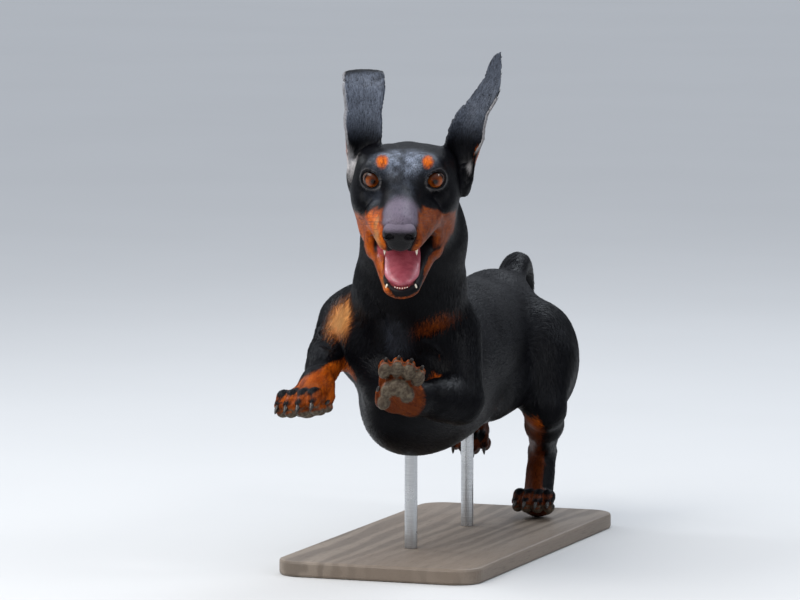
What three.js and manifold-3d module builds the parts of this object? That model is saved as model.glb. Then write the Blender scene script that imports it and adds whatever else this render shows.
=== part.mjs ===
// A smooth-haired black and tan dachshund, life size, caught in mid leap and held by a plain display stand.
// Lengths are millimetres. While it is shaped, the dog faces -Y, its left side is +X, +Z is up, and z = 0 is the top
// of the stand's base. The last lines move all of it so that the origin is the middle of the base's underside.
//
// The dog is one body of clay: smooth lumps (balls, tapering bones, bent sheets) are blended into one field of
// distances, the field's surface is drawn in triangles, and thin cuts part it into head, neck, trunk, legs and tail.
import * as THREE from 'three';
import { mergeVertices } from 'three/addons/utils/BufferGeometryUtils.js';
import Module from 'manifold-3d';

const wasm = await Module();
wasm.setup();

// Driving dimensions
const GAP = 0.3; // the thin cut between two neighbouring pieces

const COLOURS = {
  black: { color: 0x17161a, roughness: 0.55, metalness: 0 },
  tan: { color: 0x9a5a2a, roughness: 0.6, metalness: 0 },
  nose: { color: 0x131315, roughness: 0.4, metalness: 0 },
  eye: { color: 0x5a2710, roughness: 0.1, metalness: 0 },
  tongue: { color: 0xc96a78, roughness: 0.35, metalness: 0 },
  wood: { color: 0x6e655c, roughness: 0.5, metalness: 0 },
  steel: { color: 0x9a9da0, roughness: 0.3, metalness: 1 },
};

const STAND = {
  centre: [4, -15],
  length: 430,
  width: 200,
  height: 15,
  cornerRadius: 26,
  edgeRound: 2.5,
  rodRadius: 6,
  frontRod: [0, -112],
  rearRod: [0, 48],
  rodSides: 20,
  rodSunk: 14,
};

// The head turns toward the dog's left and dips. Its own axes are left, forward and up from between the eyes.
const HEAD = { between: [57, -290, 366], turn: 17.6, dip: 11, gape: 16.5, hinge: [0, -45, -35] };
const EYE = { at: [27.5, -4, 0], radius: 10.5, lid: 2.0, halfWidth: 10.3, halfHeight: 8.1, outward: 24 };
const NOSE = { at: [0, 89, -24] };

// Joints of the legs, from the body down to the paw.
const FORE_RIGHT = {
  shoulder: [-50, -146, 214], shoulderRadius: 31, elbow: [-55, -190, 190], elbowRadius: 18, armRadius: 15.5,
  wrist: [-41, -254, 170], wristRadius: 14.5, paw: [-42, -275, 155], toes: [-0.12, -0.96, -0.1], back: [-0.14, -0.1, 0.98],
  size: 1.03,
};
const FORE_LEFT = {
  shoulder: [50, -150, 208], shoulderRadius: 33, elbow: [76, -190, 153], elbowRadius: 23, armRadius: 20,
  wrist: [53, -253, 160], wristRadius: 15, paw: [46, -274, 173], toes: [0.33, -0.27, 0.9], back: [-0.27, 0.89, 0.37],
  size: 0.95,
};
const HIND_LEFT = {
  hip: [38, 148, 178], thigh: [43, 147, 152], thighRadii: [34, 58, 57], knee: [66, 88, 112], kneeRadius: 20,
  hock: [37, 166, 60], hockRadius: 12.5, paw: [45, 128, 14.6], toes: [0.05, -1, 0], back: [0, 0, 1], size: 0.93,
};
const HIND_RIGHT = {
  hip: [-42, 148, 180], thigh: [-45, 142, 168], thighRadii: [31, 50, 50], knee: [-56, 98, 132], kneeRadius: 20,
  hock: [-39, 192, 121], hockRadius: 12, paw: [-36, 168, 78], toes: [0.02, -0.62, -0.78], back: [0, -0.78, 0.62],
  size: 0.9,
};
const PAW = { toeAcross: [-15.6, -5.4, 5.4, 15.6], clawSides: 6, clawLength: 11, clawRadius: 2.7 };

const TAIL = {
  spine: [[-6, 184, 218], [-7, 208, 236], [-8, 227, 238], [-9, 243, 228], [-10, 255, 205], [-12, 264, 175],
    [-14, 276, 142], [-16, 294, 112], [-18, 320, 88]],
  rootRadius: 16,
  tipRadius: 3.6,
};

// Vectors as [x, y, z] lists
const add = (a, b) => [a[0] + b[0], a[1] + b[1], a[2] + b[2]];
const sub = (a, b) => [a[0] - b[0], a[1] - b[1], a[2] - b[2]];
const scale = (a, s) => [a[0] * s, a[1] * s, a[2] * s];
const dot = (a, b) => a[0] * b[0] + a[1] * b[1] + a[2] * b[2];
const cross = (a, b) => [a[1] * b[2] - a[2] * b[1], a[2] * b[0] - a[0] * b[2], a[0] * b[1] - a[1] * b[0]];
const size = (a) => Math.sqrt(dot(a, a));
const unit = (a) => scale(a, 1 / size(a));
const mix = (a, b, t) => [a[0] + (b[0] - a[0]) * t, a[1] + (b[1] - a[1]) * t, a[2] + (b[2] - a[2]) * t];
const clamp = (value, low, high) => Math.min(Math.max(value, low), high);
const radians = (degrees) => degrees * Math.PI / 180;

// A frame is an origin and three axes. Lumps are written in a frame's own coordinates and placed in the world.
const WORLD = { origin: [0, 0, 0], axes: [[1, 0, 0], [0, 1, 0], [0, 0, 1]] };
const turned = (frame, v) => add(add(scale(frame.axes[0], v[0]), scale(frame.axes[1], v[1])), scale(frame.axes[2], v[2]));
const placed = (frame, p) => add(frame.origin, turned(frame, p));

function headFrame() {
  const turn = radians(HEAD.turn);
  const dip = radians(HEAD.dip);
  const left = [Math.cos(turn), Math.sin(turn), 0];
  const forward = [Math.sin(turn) * Math.cos(dip), -Math.cos(turn) * Math.cos(dip), -Math.sin(dip)];
  return { origin: HEAD.between, axes: [left, forward, cross(forward, left)] };
}

// The lower jaw's frame is the head's, swung open about the hinge of the jaws.
function jawFrame(head) {
  const gape = radians(HEAD.gape);
  const [left, forward, up] = head.axes;
  const jawForward = sub(scale(forward, Math.cos(gape)), scale(up, Math.sin(gape)));
  const jawUp = add(scale(up, Math.cos(gape)), scale(forward, Math.sin(gape)));
  const frame = { origin: [0, 0, 0], axes: [left, jawForward, jawUp] };
  frame.origin = sub(placed(head, HEAD.hinge), turned(frame, HEAD.hinge));
  return frame;
}

function pawFrame(leg) {
  const toes = unit(leg.toes);
  const across = unit(cross(toes, leg.back));
  return { origin: leg.paw, axes: [across, toes, cross(across, toes)] };
}

const head = headFrame();
const jaw = jawFrame(head);

// Lumps of clay. blend is the width over which a lump runs into those before it, and a carved lump is taken away.
function ball(at, radii, blend = 0, lean = 0) {
  const c = Math.cos(radians(lean));
  const s = Math.sin(radians(lean));
  return { kind: 'ball', at, radii, blend, own: [[1, 0, 0], [0, c, s], [0, -s, c]] };
}

function bone(from, fromRadius, to, toRadius, blend = 0) {
  return { kind: 'bone', from, fromRadius, to, toRadius, blend };
}

const carved = (lump) => ({ ...lump, carve: true });

// Both sides of the body: the lump as it is written, and its mirror image.
function pair(lump) {
  const flip = ([x, y, z]) => [-x, y, z];
  const other = { ...lump };
  for (const key of ['at', 'from', 'to']) {
    if (lump[key]) {
      other[key] = flip(lump[key]);
    }
  }
  return [lump, other];
}

// A bent sheet of even thickness along a spine, such as an ear. Each station has its point on the spine, the way
// across, the way the hollow side faces, half the width along the bend, and the radius of the bend.
function sheet(stations, thickness, blend) {
  return { kind: 'sheet', stations, thickness, blend };
}

const SHEET_STEPS = 3;

function smoothStations(stations) {
  const curve = new THREE.CatmullRomCurve3(stations.map((s) => new THREE.Vector3(...s.at)), false, 'centripetal');
  const count = (stations.length - 1) * SHEET_STEPS;
  const fine = [];
  for (let i = 0; i <= count; i++) {
    const along = i / SHEET_STEPS;
    const before = Math.min(Math.floor(along), stations.length - 2);
    const t = along - before;
    const [a, b] = [stations[before], stations[before + 1]];
    fine.push({
      at: curve.getPoint(i / count).toArray(),
      across: mix(a.across, b.across, t),
      hollow: mix(a.hollow, b.hollow, t),
      half: a.half + (b.half - a.half) * t,
      bend: 1 / a.radius + (1 / b.radius - 1 / a.radius) * t,
    });
  }
  return fine;
}

// Places lumps that are written in a frame into the world, and works out the sphere that bounds each.
function place(frame, lumps) {
  return lumps.flat().map((lump) => {
    if (lump.kind === 'ball') {
      const axes = lump.own.map((axis) => turned(frame, axis));
      return { ...lump, at: placed(frame, lump.at), axes, centre: placed(frame, lump.at), reach: Math.max(...lump.radii) };
    }
    if (lump.kind === 'bone') {
      const from = placed(frame, lump.from);
      const to = placed(frame, lump.to);
      const along = sub(to, from);
      const reach = size(along) / 2 + Math.max(lump.fromRadius, lump.toRadius);
      return { ...lump, from, along, lengthSquared: dot(along, along), centre: mix(from, to, 0.5), reach };
    }
    const stations = smoothStations(lump.stations).map((s) => ({
      ...s, at: placed(frame, s.at), across: turned(frame, s.across), hollow: turned(frame, s.hollow),
    }));
    const centre = stations[Math.floor(stations.length / 2)].at;
    const reach = Math.max(...stations.map((s) => size(sub(s.at, centre)) + s.half + lump.thickness));
    const widest = 2 * Math.max(...stations.map((s) => s.half));
    return { ...lump, stations, centre, reach, widest };
  });
}

// Distance from a point to one lump, negative inside it
function ballDistance({ at, axes, radii }, x, y, z) {
  const [dx, dy, dz] = [x - at[0], y - at[1], z - at[2]];
  let inner = 0;
  let outer = 0;
  for (let i = 0; i < 3; i++) {
    const axis = axes[i];
    const q = (dx * axis[0] + dy * axis[1] + dz * axis[2]) / radii[i];
    inner += q * q;
    outer += (q / radii[i]) * (q / radii[i]);
  }
  inner = Math.sqrt(inner);
  return outer < 1e-9 ? -Math.min(...radii) : inner * (inner - 1) / Math.sqrt(outer);
}

function boneDistance({ from, along, lengthSquared, fromRadius, toRadius }, x, y, z) {
  const [dx, dy, dz] = [x - from[0], y - from[1], z - from[2]];
  const t = clamp((dx * along[0] + dy * along[1] + dz * along[2]) / lengthSquared, 0, 1);
  const [ex, ey, ez] = [dx - along[0] * t, dy - along[1] * t, dz - along[2] * t];
  return Math.sqrt(ex * ex + ey * ey + ez * ez) - (fromRadius + (toRadius - fromRadius) * t);
}

function sheetDistance(lump, x, y, z) {
  const p = [x, y, z];
  let nearest = Infinity;
  for (let i = 0; i + 1 < lump.stations.length; i++) {
    const a = lump.stations[i];
    const b = lump.stations[i + 1];
    const chord = sub(b.at, a.at);
    const t = clamp(dot(sub(p, a.at), chord) / dot(chord, chord), 0, 1);
    const d = sub(p, mix(a.at, b.at, t));
    if (size(d) > nearest + lump.widest) {
      continue;
    }
    const way = unit(chord);
    let across = mix(a.across, b.across, t);
    across = unit(sub(across, scale(way, dot(across, way))));
    let hollow = mix(a.hollow, b.hollow, t);
    hollow = unit(sub(hollow, add(scale(way, dot(hollow, way)), scale(across, dot(hollow, across)))));
    const radius = 1 / (a.bend + (b.bend - a.bend) * t);
    const sideways = dot(d, across);
    const inward = radius - dot(d, hollow);
    const aside = Math.abs(Math.atan2(sideways, inward) * radius);
    const over = Math.max(aside - (a.half + (b.half - a.half) * t), 0);
    const off = radius - Math.sqrt(sideways * sideways + inward * inward);
    const beyond = dot(d, way);
    nearest = Math.min(nearest, Math.sqrt(over * over + off * off + beyond * beyond));
  }
  return nearest - lump.thickness / 2;
}

const DISTANCE = { ball: ballDistance, bone: boneDistance, sheet: sheetDistance };

function smoothMin(a, b, blend) {
  const gap = Math.abs(a - b);
  const h = gap < blend ? 1 - gap / blend : 0;
  return Math.min(a, b) - h * h * blend / 4;
}

// The field of all lumps together. Space is split into buckets that each know the lumps that matter near them.
const BUCKET = 20;
const BAND = 26; // how far from the surface the field must still be right

function fieldOf(lumps) {
  const buckets = new Map();
  const nearBucket = (i, j, k) => {
    const middle = [(i + 0.5) * BUCKET, (j + 0.5) * BUCKET, (k + 0.5) * BUCKET];
    const radius = BUCKET * 0.87 + BAND;
    return lumps.filter((lump) => size(sub(lump.centre, middle)) < lump.reach + lump.blend + radius);
  };
  return ([x, y, z]) => {
    const [i, j, k] = [Math.floor(x / BUCKET), Math.floor(y / BUCKET), Math.floor(z / BUCKET)];
    const key = (i + 500) * 1e6 + (j + 500) * 1e3 + k + 500;
    let near = buckets.get(key);
    if (!near) {
      near = nearBucket(i, j, k);
      buckets.set(key, near);
    }
    let d = 1000;
    for (const lump of near) {
      const own = DISTANCE[lump.kind](lump, x, y, z);
      d = lump.carve ? -smoothMin(-d, own, lump.blend) : smoothMin(d, own, lump.blend);
    }
    return d;
  };
}

// Trunk and neck
const torsoLumps = place(WORLD, [
  ball([2, -52, 163], [60, 130, 75]), // rib cage
  ball([0, -108, 133], [36, 90, 42], 25), // keel of the chest
  ball([3, -184, 168], [27, 28, 29], 16), // point of the breastbone
  ball([0, 55, 172], [52, 110, 62], 30), // belly
  bone([0, -120, 203], 36, [-4, 120, 200], 36, 20), // back and loin
  ball([-6, 150, 187], [43, 60, 53], 25), // rump
  pair(ball([44, -135, 206], [22, 44, 44], 20, 12)), // shoulder blades
  ball([0, -122, 226], [26, 60, 28], 25), // withers
  pair(ball([21, -173, 194], [23, 30, 29], 16)), // breast muscles
  pair(bone([36, 30, 128], 17, [44, 98, 138], 20, 22)), // flank folds
]);

const neckLumps = place(WORLD, [
  bone([0, -140, 214], 50, [22, -176, 256], 50, 24),
  bone([22, -176, 256], 50, [35, -200, 305], 46, 16),
  bone([35, -200, 305], 46, [38, -214, 346], 40, 16),
]);

// Head, in its own left, forward and up
const skullLumps = place(head, [
  ball([0, -48, -10], [43, 52, 26], 14), // skull
  pair(ball([20, -48, -5], [21, 40, 20], 10)), // its flat sides
  ball([0, -88, -9], [22, 14, 17], 14), // back of the skull
  ball([0, -16, -2], [31, 34, 20], 14), // forehead
  pair(ball([21, -7, 11], [14, 17, 9], 10)), // brows
  pair(ball([34, -40, -8], [13, 32, 24], 12)), // temples
  pair(ball([36, -30, -26], [13, 33, 17], 12)), // cheek bones
  pair(ball([30, -42, -48], [15, 25, 24], 14)), // jaw muscles
  ball([0, -52, -62], [30, 40, 28], 18), // throat
  bone([0, 4, -10], 16, [0, 83, -21], 12, 12), // bridge of the muzzle
  bone([0, -2, -27], 25, [0, 78, -27], 15.5, 10), // core of the muzzle
  pair(bone([21, 10, -33], 14, [10.5, 80, -34], 10.5, 8)), // upper lips
]);

const jawLumps = place(jaw, [
  pair(bone([26, -24, -55], 12, [9, 68, -53], 8, 8)), // halves of the lower jaw
  bone([0, -14, -62], 16, [0, 62, -56], 10, 8), // floor of the mouth
  ball([0, 71, -53], [13, 13, 8.5], 6), // chin
]);

const mouthLumps = [
  ...place(head, [
    pair(ball([30, -6, -56], [6, 16, 18], 10)), // skin of the cheeks at the corners of the mouth
    carved(ball([0, 44, -50], [17, 52, 13], 3)), // hollow under the palate
    carved(bone([0, 88, -38], 0.8, [0, 94, -50], 1.4, 1.5)), // groove of the upper lip
  ]),
  ...place(jaw, [carved(ball([0, 42, -43], [15.5, 46, 8.5], 3))]), // hollow of the lower jaw
];

// Eyelids: a shell over each globe, with an almond opening that looks a little outward.
function lidLumps() {
  const outward = radians(EYE.outward);
  return place(head, [
    pair(ball(EYE.at, [EYE.radius + EYE.lid, EYE.radius + EYE.lid, EYE.radius + EYE.lid], 4)),
  ]).concat([-1, 1].flatMap((side) => {
    const looks = [side * Math.sin(outward), Math.cos(outward), 0];
    const across = [Math.cos(outward), -side * Math.sin(outward), 0];
    const opening = {
      origin: placed(head, add([side * EYE.at[0], EYE.at[1], EYE.at[2]], scale(looks, EYE.radius))),
      axes: [turned(head, across), turned(head, looks), head.axes[2]],
    };
    return place(opening, [
      carved(ball([0, 0, 0], [EYE.halfWidth, 6, EYE.halfHeight], 1)),
      carved(ball([-side * EYE.halfWidth * 0.95, -1, -1.5], [3, 3.5, 1.8], 1)), // inner corner
    ]);
  }));
}

// Ears: bent sheets that are rolled to a cup at the root and fly upward. The dog's right one folds back at its top.
const EAR_THICKNESS = 3;
const EAR_RIGHT = [
  { at: [-46, -50, -14], across: [0.75, -0.6, 0.2], hollow: [0.5, 0.75, 0.1], half: 12, radius: 10 },
  { at: [-45, -62, 6], across: [0.92, -0.38, 0], hollow: [0.38, 0.92, 0], half: 24, radius: 13 },
  { at: [-42, -66, 26], across: [0.95, -0.3, 0], hollow: [0.3, 0.95, 0], half: 21.5, radius: 18 },
  { at: [-39, -68, 46], across: [1, 0, 0], hollow: [0, 1, 0], half: 16.5, radius: 36 },
  { at: [-38.5, -71, 66], across: [1, 0, 0], hollow: [0, 0.9, -0.4], half: 19, radius: 70 },
  { at: [-39.5, -82, 77], across: [1, 0, 0], hollow: [0, 0.4, -0.9], half: 18.5, radius: 90 },
  { at: [-39, -97, 76], across: [1, 0, 0], hollow: [0, -0.3, -0.95], half: 16, radius: 90 },
  { at: [-38, -112, 64], across: [1, 0, 0], hollow: [0, -0.8, -0.6], half: 8, radius: 90 },
];
const EAR_LEFT = [
  { at: [55, -50, -16], across: [0.75, 0.6, -0.2], hollow: [-0.5, 0.75, 0.1], half: 12, radius: 11 },
  { at: [56, -62, 6], across: [0.92, 0.38, 0], hollow: [-0.38, 0.92, 0], half: 24, radius: 15 },
  { at: [61, -66, 26], across: [0.88, 0.45, 0], hollow: [-0.45, 0.88, 0.1], half: 22, radius: 21 },
  { at: [71.5, -68, 48], across: [0.42, 0.87, -0.25], hollow: [-0.86, 0.5, 0.1], half: 19, radius: 28 },
  { at: [82, -70, 69], across: [0.46, 0.84, -0.28], hollow: [-0.84, 0.5, 0.12], half: 15.5, radius: 36 },
  { at: [86.5, -72, 84], across: [0.66, 0.7, -0.27], hollow: [-0.72, 0.68, 0.1], half: 12.5, radius: 50 },
  { at: [89.5, -73, 94], across: [0.8, 0.55, -0.24], hollow: [-0.55, 0.83, 0.1], half: 9, radius: 60 },
  { at: [90.5, -73, 98], across: [0.8, 0.55, -0.24], hollow: [-0.55, 0.83, 0.1], half: 4.5, radius: 60 },
];
const earLumps = place(head, [
  sheet(EAR_RIGHT, EAR_THICKNESS, 5),
  sheet(EAR_LEFT, EAR_THICKNESS, 5),
  ball([-46, -50, -14], [8, 13, 15], 6), // lobe under each root
  ball([54, -50, -16], [7, 12, 15], 6),
  carved(ball([-49, -39, 2], [7, 10, 19], 3)), // the open cup in front of each root
  carved(ball([55, -39, 2], [7, 10, 19], 3)),
]);

// Legs
function foreLegLumps(leg) {
  return place(WORLD, [
    bone(leg.shoulder, leg.shoulderRadius, leg.elbow, leg.elbowRadius, 16), // upper arm
    bone(leg.elbow, leg.elbowRadius - 2, mix(leg.elbow, leg.wrist, 0.45), leg.armRadius, 10), // forearm's muscles
    bone(mix(leg.elbow, leg.wrist, 0.3), leg.armRadius, leg.wrist, leg.wristRadius, 8),
  ]);
}

function hindLegLumps(leg) {
  const calf = mix(leg.knee, leg.hock, 0.35);
  return place(WORLD, [
    ball(leg.thigh, leg.thighRadii, 22),
    bone(mix(leg.hip, leg.knee, 0.4), 34, leg.knee, leg.kneeRadius, 16),
    bone(leg.knee, leg.kneeRadius - 1, calf, 18, 10),
    bone(calf, 18, leg.hock, leg.hockRadius, 10), // shank
    ball(add(leg.hock, [0, 4, 3]), [8.5, 11, 11], 6), // point of the hock
    bone(leg.hock, leg.hockRadius, leg.paw, 12.5, 6), // long bones of the foot
  ]);
}

// A paw in its own axes: across, toward the toes, and toward the back of the paw, from the root of the toes.
function pawLumps(leg, isFore) {
  const s = leg.size;
  const lumps = [ball([0, 8 * s, 5 * s], [17 * s, 13 * s, 7 * s], 4)]; // web
  for (const across of PAW.toeAcross) {
    const isOuter = Math.abs(across) > 10;
    const reach = (isOuter ? 20 : 25) * s;
    const x = across * s;
    lumps.push(bone([x * 0.8, 0, 6 * s], 6.8 * s, [x, 13 * s, 9 * s], 6.9 * s, 3));
    lumps.push(bone([x, 13 * s, 9 * s], 6.9 * s, [x * 1.1, reach, 3 * s], 5.6 * s, 2));
    lumps.push(ball([x * 1.08, reach - 4 * s, -3 * s], [6.3 * s, 8.8 * s, 6 * s], 1.5)); // toe pad
  }
  lumps.push(ball([0, 3 * s, -6.5 * s], [10.5 * s, 8 * s, 7 * s], 3)); // heel pad
  lumps.push(pair(ball([10 * s, -2.5 * s, -6.5 * s], [6.5 * s, 7.5 * s, 6.5 * s], 3)));
  const inPaw = place(pawFrame(leg), lumps);
  if (isFore) {
    const inner = Math.sign(leg.paw[0]);
    inPaw.push(...place(pawFrame(leg), [
      ball([inner * 10, -16 * s, -8.5 * s], [5.5, 7, 5], 4), // pad behind the wrist
      bone([inner * 12, -20 * s, 0], 5, [inner * 15, -10 * s, -1], 4, 4), // dewclaw toe
      ball([0, -12 * s, 6 * s], [16 * s, 20 * s, 12 * s], 8),
    ]));
  }
  const [root, rootRadius] = isFore ? [leg.wrist, leg.wristRadius] : [leg.hock, leg.hockRadius];
  const [end, endRadius] = isFore ? [add(leg.paw, scale(leg.back, 4 * s)), 11 * s] : [leg.paw, 13 * s];
  inPaw.push(...place(WORLD, [bone(root, rootRadius, end, endRadius, 8)]));
  return inPaw;
}

// Tail: one bone after another along a smooth spine that tapers to its tip.
const TAIL_STEPS = 20;

function tailLumps() {
  const curve = new THREE.CatmullRomCurve3(TAIL.spine.map((p) => new THREE.Vector3(...p)));
  const radiusAt = (t) => TAIL.tipRadius + (TAIL.rootRadius - TAIL.tipRadius) * (1 - t) ** 1.4;
  const lumps = [];
  for (let i = 0; i < TAIL_STEPS; i++) {
    const [a, b] = [i / TAIL_STEPS, (i + 1) / TAIL_STEPS];
    const blend = i === 0 ? 16 : 2;
    lumps.push(bone(curve.getPoint(a).toArray(), radiusAt(a), curve.getPoint(b).toArray(), radiusAt(b), blend));
  }
  return place(WORLD, lumps);
}

const dog = [
  ...torsoLumps,
  ...neckLumps,
  ...skullLumps,
  ...jawLumps,
  ...mouthLumps,
  ...lidLumps(),
  ...earLumps,
  ...foreLegLumps(FORE_RIGHT),
  ...foreLegLumps(FORE_LEFT),
  ...hindLegLumps(HIND_LEFT),
  ...hindLegLumps(HIND_RIGHT),
  ...pawLumps(FORE_RIGHT, true),
  ...pawLumps(FORE_LEFT, true),
  ...pawLumps(HIND_LEFT, false),
  ...pawLumps(HIND_RIGHT, false),
  ...tailLumps(),
];

const dogField = fieldOf(dog);

// Soft pieces that lie in the head and keep their own skin
const tongueLumps = place(jaw, [
  ball([0, 31, -47], [17, 43, 6]),
  ball([0, 54, -47], [15.5, 21, 5.5], 4), // its broad tip
  carved(bone([0, 20, -37], 1.6, [0, 70, -37.5], 1.6, 2)), // groove down its middle
]);
const noseLumps = place(head, [
  ball(NOSE.at, [13.5, 10, 10]),
  pair(ball([8.6, 91, -24.5], [6.6, 8, 8], 3)), // wings
  ball([0, 88.5, -33.5], [12, 7.5, 8.5], 4), // lower part, down to the lip
  pair(carved(ball([8.6, 98.5, -26.5], [4.2, 4, 3.1], 1))), // nostrils
  pair(carved(ball([13.5, 94.5, -28.5], [3.6, 4, 1.3], 0.6))), // their side slits
  carved(bone([0, 101, -19], 0.6, [0, 97, -41], 0.9, 0.8)), // groove between them
]);

// Drawing the surface of a field: each small cube of a grid is split into six tetrahedra, and the surface crosses
// their edges where the field is zero. A tetrahedron follows the cube's edges from its low corner to its high one.
const PATHS = [[0, 1, 2], [0, 2, 1], [1, 0, 2], [1, 2, 0], [2, 0, 1], [2, 1, 0]];
const BLOCK = 4; // points a side that are passed over together where the surface is far off

function surfaceOf(field, low, high, cell) {
  const counts = low.map((value, i) => Math.ceil((high[i] - value) / cell / BLOCK) * BLOCK + 1);
  const [nx, ny, nz] = counts;
  const step = [1, nx, nx * ny];
  const values = new Float32Array(nx * ny * nz);
  const pointAt = (i, j, k) => [low[0] + i * cell, low[1] + j * cell, low[2] + k * cell];
  const farOff = BLOCK * cell * 1.4;
  for (let bk = 0; bk < nz; bk += BLOCK) {
    for (let bj = 0; bj < ny; bj += BLOCK) {
      for (let bi = 0; bi < nx; bi += BLOCK) {
        const middle = field(pointAt(bi + BLOCK / 2, bj + BLOCK / 2, bk + BLOCK / 2));
        for (let k = bk; k < Math.min(bk + BLOCK, nz); k++) {
          for (let j = bj; j < Math.min(bj + BLOCK, ny); j++) {
            for (let i = bi; i < Math.min(bi + BLOCK, nx); i++) {
              const value = Math.abs(middle) > farOff ? middle : field(pointAt(i, j, k));
              values[i + j * step[1] + k * step[2]] = value === 0 ? 1e-6 : value;
            }
          }
        }
      }
    }
  }

  const points = [];
  const triangles = [];
  const made = new Map();
  const place3 = (index) => pointAt(index % nx, Math.floor(index / nx) % ny, Math.floor(index / step[2]));

  // The point where the surface crosses the edge between two grid points, found by closing in on it.
  function crossing(a, b) {
    const key = a < b ? a * values.length + b : b * values.length + a;
    if (made.has(key)) {
      return made.get(key);
    }
    let [inside, outside] = values[a] < 0 ? [place3(a), place3(b)] : [place3(b), place3(a)];
    let [vIn, vOut] = values[a] < 0 ? [values[a], values[b]] : [values[b], values[a]];
    for (let round = 0; round < 3; round++) {
      const t = clamp(vIn / (vIn - vOut), 0.1, 0.9);
      const between = mix(inside, outside, t);
      const v = field(between);
      if (v < 0) {
        [inside, vIn] = [between, v];
      } else {
        [outside, vOut] = [between, v];
      }
    }
    points.push(mix(inside, outside, vIn / (vIn - vOut || -1e-9)));
    made.set(key, points.length - 1);
    return points.length - 1;
  }

  function addTriangle(a, b, c, outward) {
    const normal = cross(sub(points[b], points[a]), sub(points[c], points[a]));
    triangles.push(dot(normal, outward) > 0 ? [a, b, c] : [a, c, b]);
  }

  for (let k = 0; k + 1 < nz; k++) {
    for (let j = 0; j + 1 < ny; j++) {
      for (let i = 0; i + 1 < nx; i++) {
        const corner = i + j * step[1] + k * step[2];
        const opposite = corner + step[0] + step[1] + step[2];
        const signs = new Set();
        for (let c = 0; c < 8; c++) {
          signs.add(values[corner + (c & 1) * step[0] + ((c >> 1) & 1) * step[1] + (c >> 2) * step[2]] < 0);
        }
        if (signs.size < 2) {
          continue;
        }
        for (const [first, second] of PATHS) {
          const tetra = [corner, corner + step[first], corner + step[first] + step[second], opposite];
          const inner = tetra.filter((index) => values[index] < 0);
          const outer = tetra.filter((index) => values[index] >= 0);
          if (inner.length === 0 || outer.length === 0) {
            continue;
          }
          const outward = sub(
            scale(outer.map(place3).reduce(add), 1 / outer.length),
            scale(inner.map(place3).reduce(add), 1 / inner.length),
          );
          if (inner.length === 2) {
            const ring = [
              crossing(inner[0], outer[0]), crossing(inner[0], outer[1]),
              crossing(inner[1], outer[1]), crossing(inner[1], outer[0]),
            ];
            addTriangle(ring[0], ring[1], ring[2], outward);
            addTriangle(ring[0], ring[2], ring[3], outward);
          } else {
            const [lone, others] = inner.length === 1 ? [inner[0], outer] : [outer[0], inner];
            const [a, b, c] = others.map((index) => crossing(lone, index));
            addTriangle(a, b, c, outward);
          }
        }
      }
    }
  }
  return { points, triangles };
}

// Fewer triangles: the edge whose loss changes the shape least goes first, until no more than the wanted number is
// left. Each point keeps the sum of the planes of its triangles, as ten numbers, to measure that change. The planes
// round the eyes and the tip of the muzzle count for more, which keeps smaller triangles there.
const FINE = [
  { at: placed(head, [29, 5, 0]), radius: 17, weight: 12 },
  { at: placed(head, [-29, 5, 0]), radius: 17, weight: 12 },
  { at: placed(head, [0, 85, -30]), radius: 24, weight: 3 },
];

function weightAt(p) {
  return FINE.reduce((weight, spot) => (size(sub(p, spot.at)) < spot.radius ? spot.weight : weight), 1);
}
const NO_PLANE = [0, 0, 0, 0, 0, 0, 0, 0, 0, 0];

function planeOf(a, b, c) {
  const normal = cross(sub(b, a), sub(c, a));
  const area = size(normal);
  if (area < 1e-12) {
    return NO_PLANE;
  }
  const [x, y, z] = scale(normal, 1 / area);
  const w = -dot([x, y, z], a);
  return [x * x, x * y, x * z, x * w, y * y, y * z, y * w, z * z, z * w, w * w].map((v) => v * area);
}

function together(p, q) {
  return [p[0] + q[0], p[1] + q[1], p[2] + q[2], p[3] + q[3], p[4] + q[4], p[5] + q[5], p[6] + q[6], p[7] + q[7],
    p[8] + q[8], p[9] + q[9]];
}

function costAt(q, [x, y, z]) {
  return q[0] * x * x + 2 * q[1] * x * y + 2 * q[2] * x * z + 2 * q[3] * x + q[4] * y * y
    + 2 * q[5] * y * z + 2 * q[6] * y + q[7] * z * z + 2 * q[8] * z + q[9];
}

// The place of least cost, when the planes fix one near the edge, or else the best of the edge's ends and middle.
function bestPlace(q, a, b) {
  const middle = mix(a, b, 0.5);
  const rows = [[q[0], q[1], q[2]], [q[1], q[4], q[5]], [q[2], q[5], q[7]]];
  const det = dot(rows[0], cross(rows[1], rows[2]));
  const trace = q[0] + q[4] + q[7];
  if (Math.abs(det) > 1e-4 * trace ** 3) {
    const right = [-q[3], -q[6], -q[8]];
    const solved = scale(add(add(
      scale(cross(rows[1], rows[2]), right[0]),
      scale(cross(rows[2], rows[0]), right[1])),
    scale(cross(rows[0], rows[1]), right[2])), 1 / det);
    if (size(sub(solved, middle)) < size(sub(a, b))) {
      return solved;
    }
  }
  return [a, b, middle].reduce((best, p) => (costAt(q, p) < costAt(q, best) ? p : best));
}

const EVENNESS = 2e-4; // keeps the edges of flat stretches alike in length

// A pile that gives back its cheapest item first
class Heap {
  constructor() {
    this.items = [];
  }

  push(item) {
    const list = this.items;
    let i = list.length;
    list.push(item);
    while (i > 0) {
      const parent = (i - 1) >> 1;
      if (list[parent].cost <= item.cost) {
        break;
      }
      list[i] = list[parent];
      i = parent;
    }
    list[i] = item;
  }

  pop() {
    const list = this.items;
    const top = list[0];
    const last = list.pop();
    if (list.length === 0) {
      return top;
    }
    let i = 0;
    for (let child = 1; child < list.length; child = 2 * i + 1) {
      if (child + 1 < list.length && list[child + 1].cost < list[child].cost) {
        child += 1;
      }
      if (last.cost <= list[child].cost) {
        break;
      }
      list[i] = list[child];
      i = child;
    }
    list[i] = last;
    return top;
  }
}

const NARROWEST = 0.03; // twice a triangle's area over its longest side squared
const ROUNDS = 8;

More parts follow.
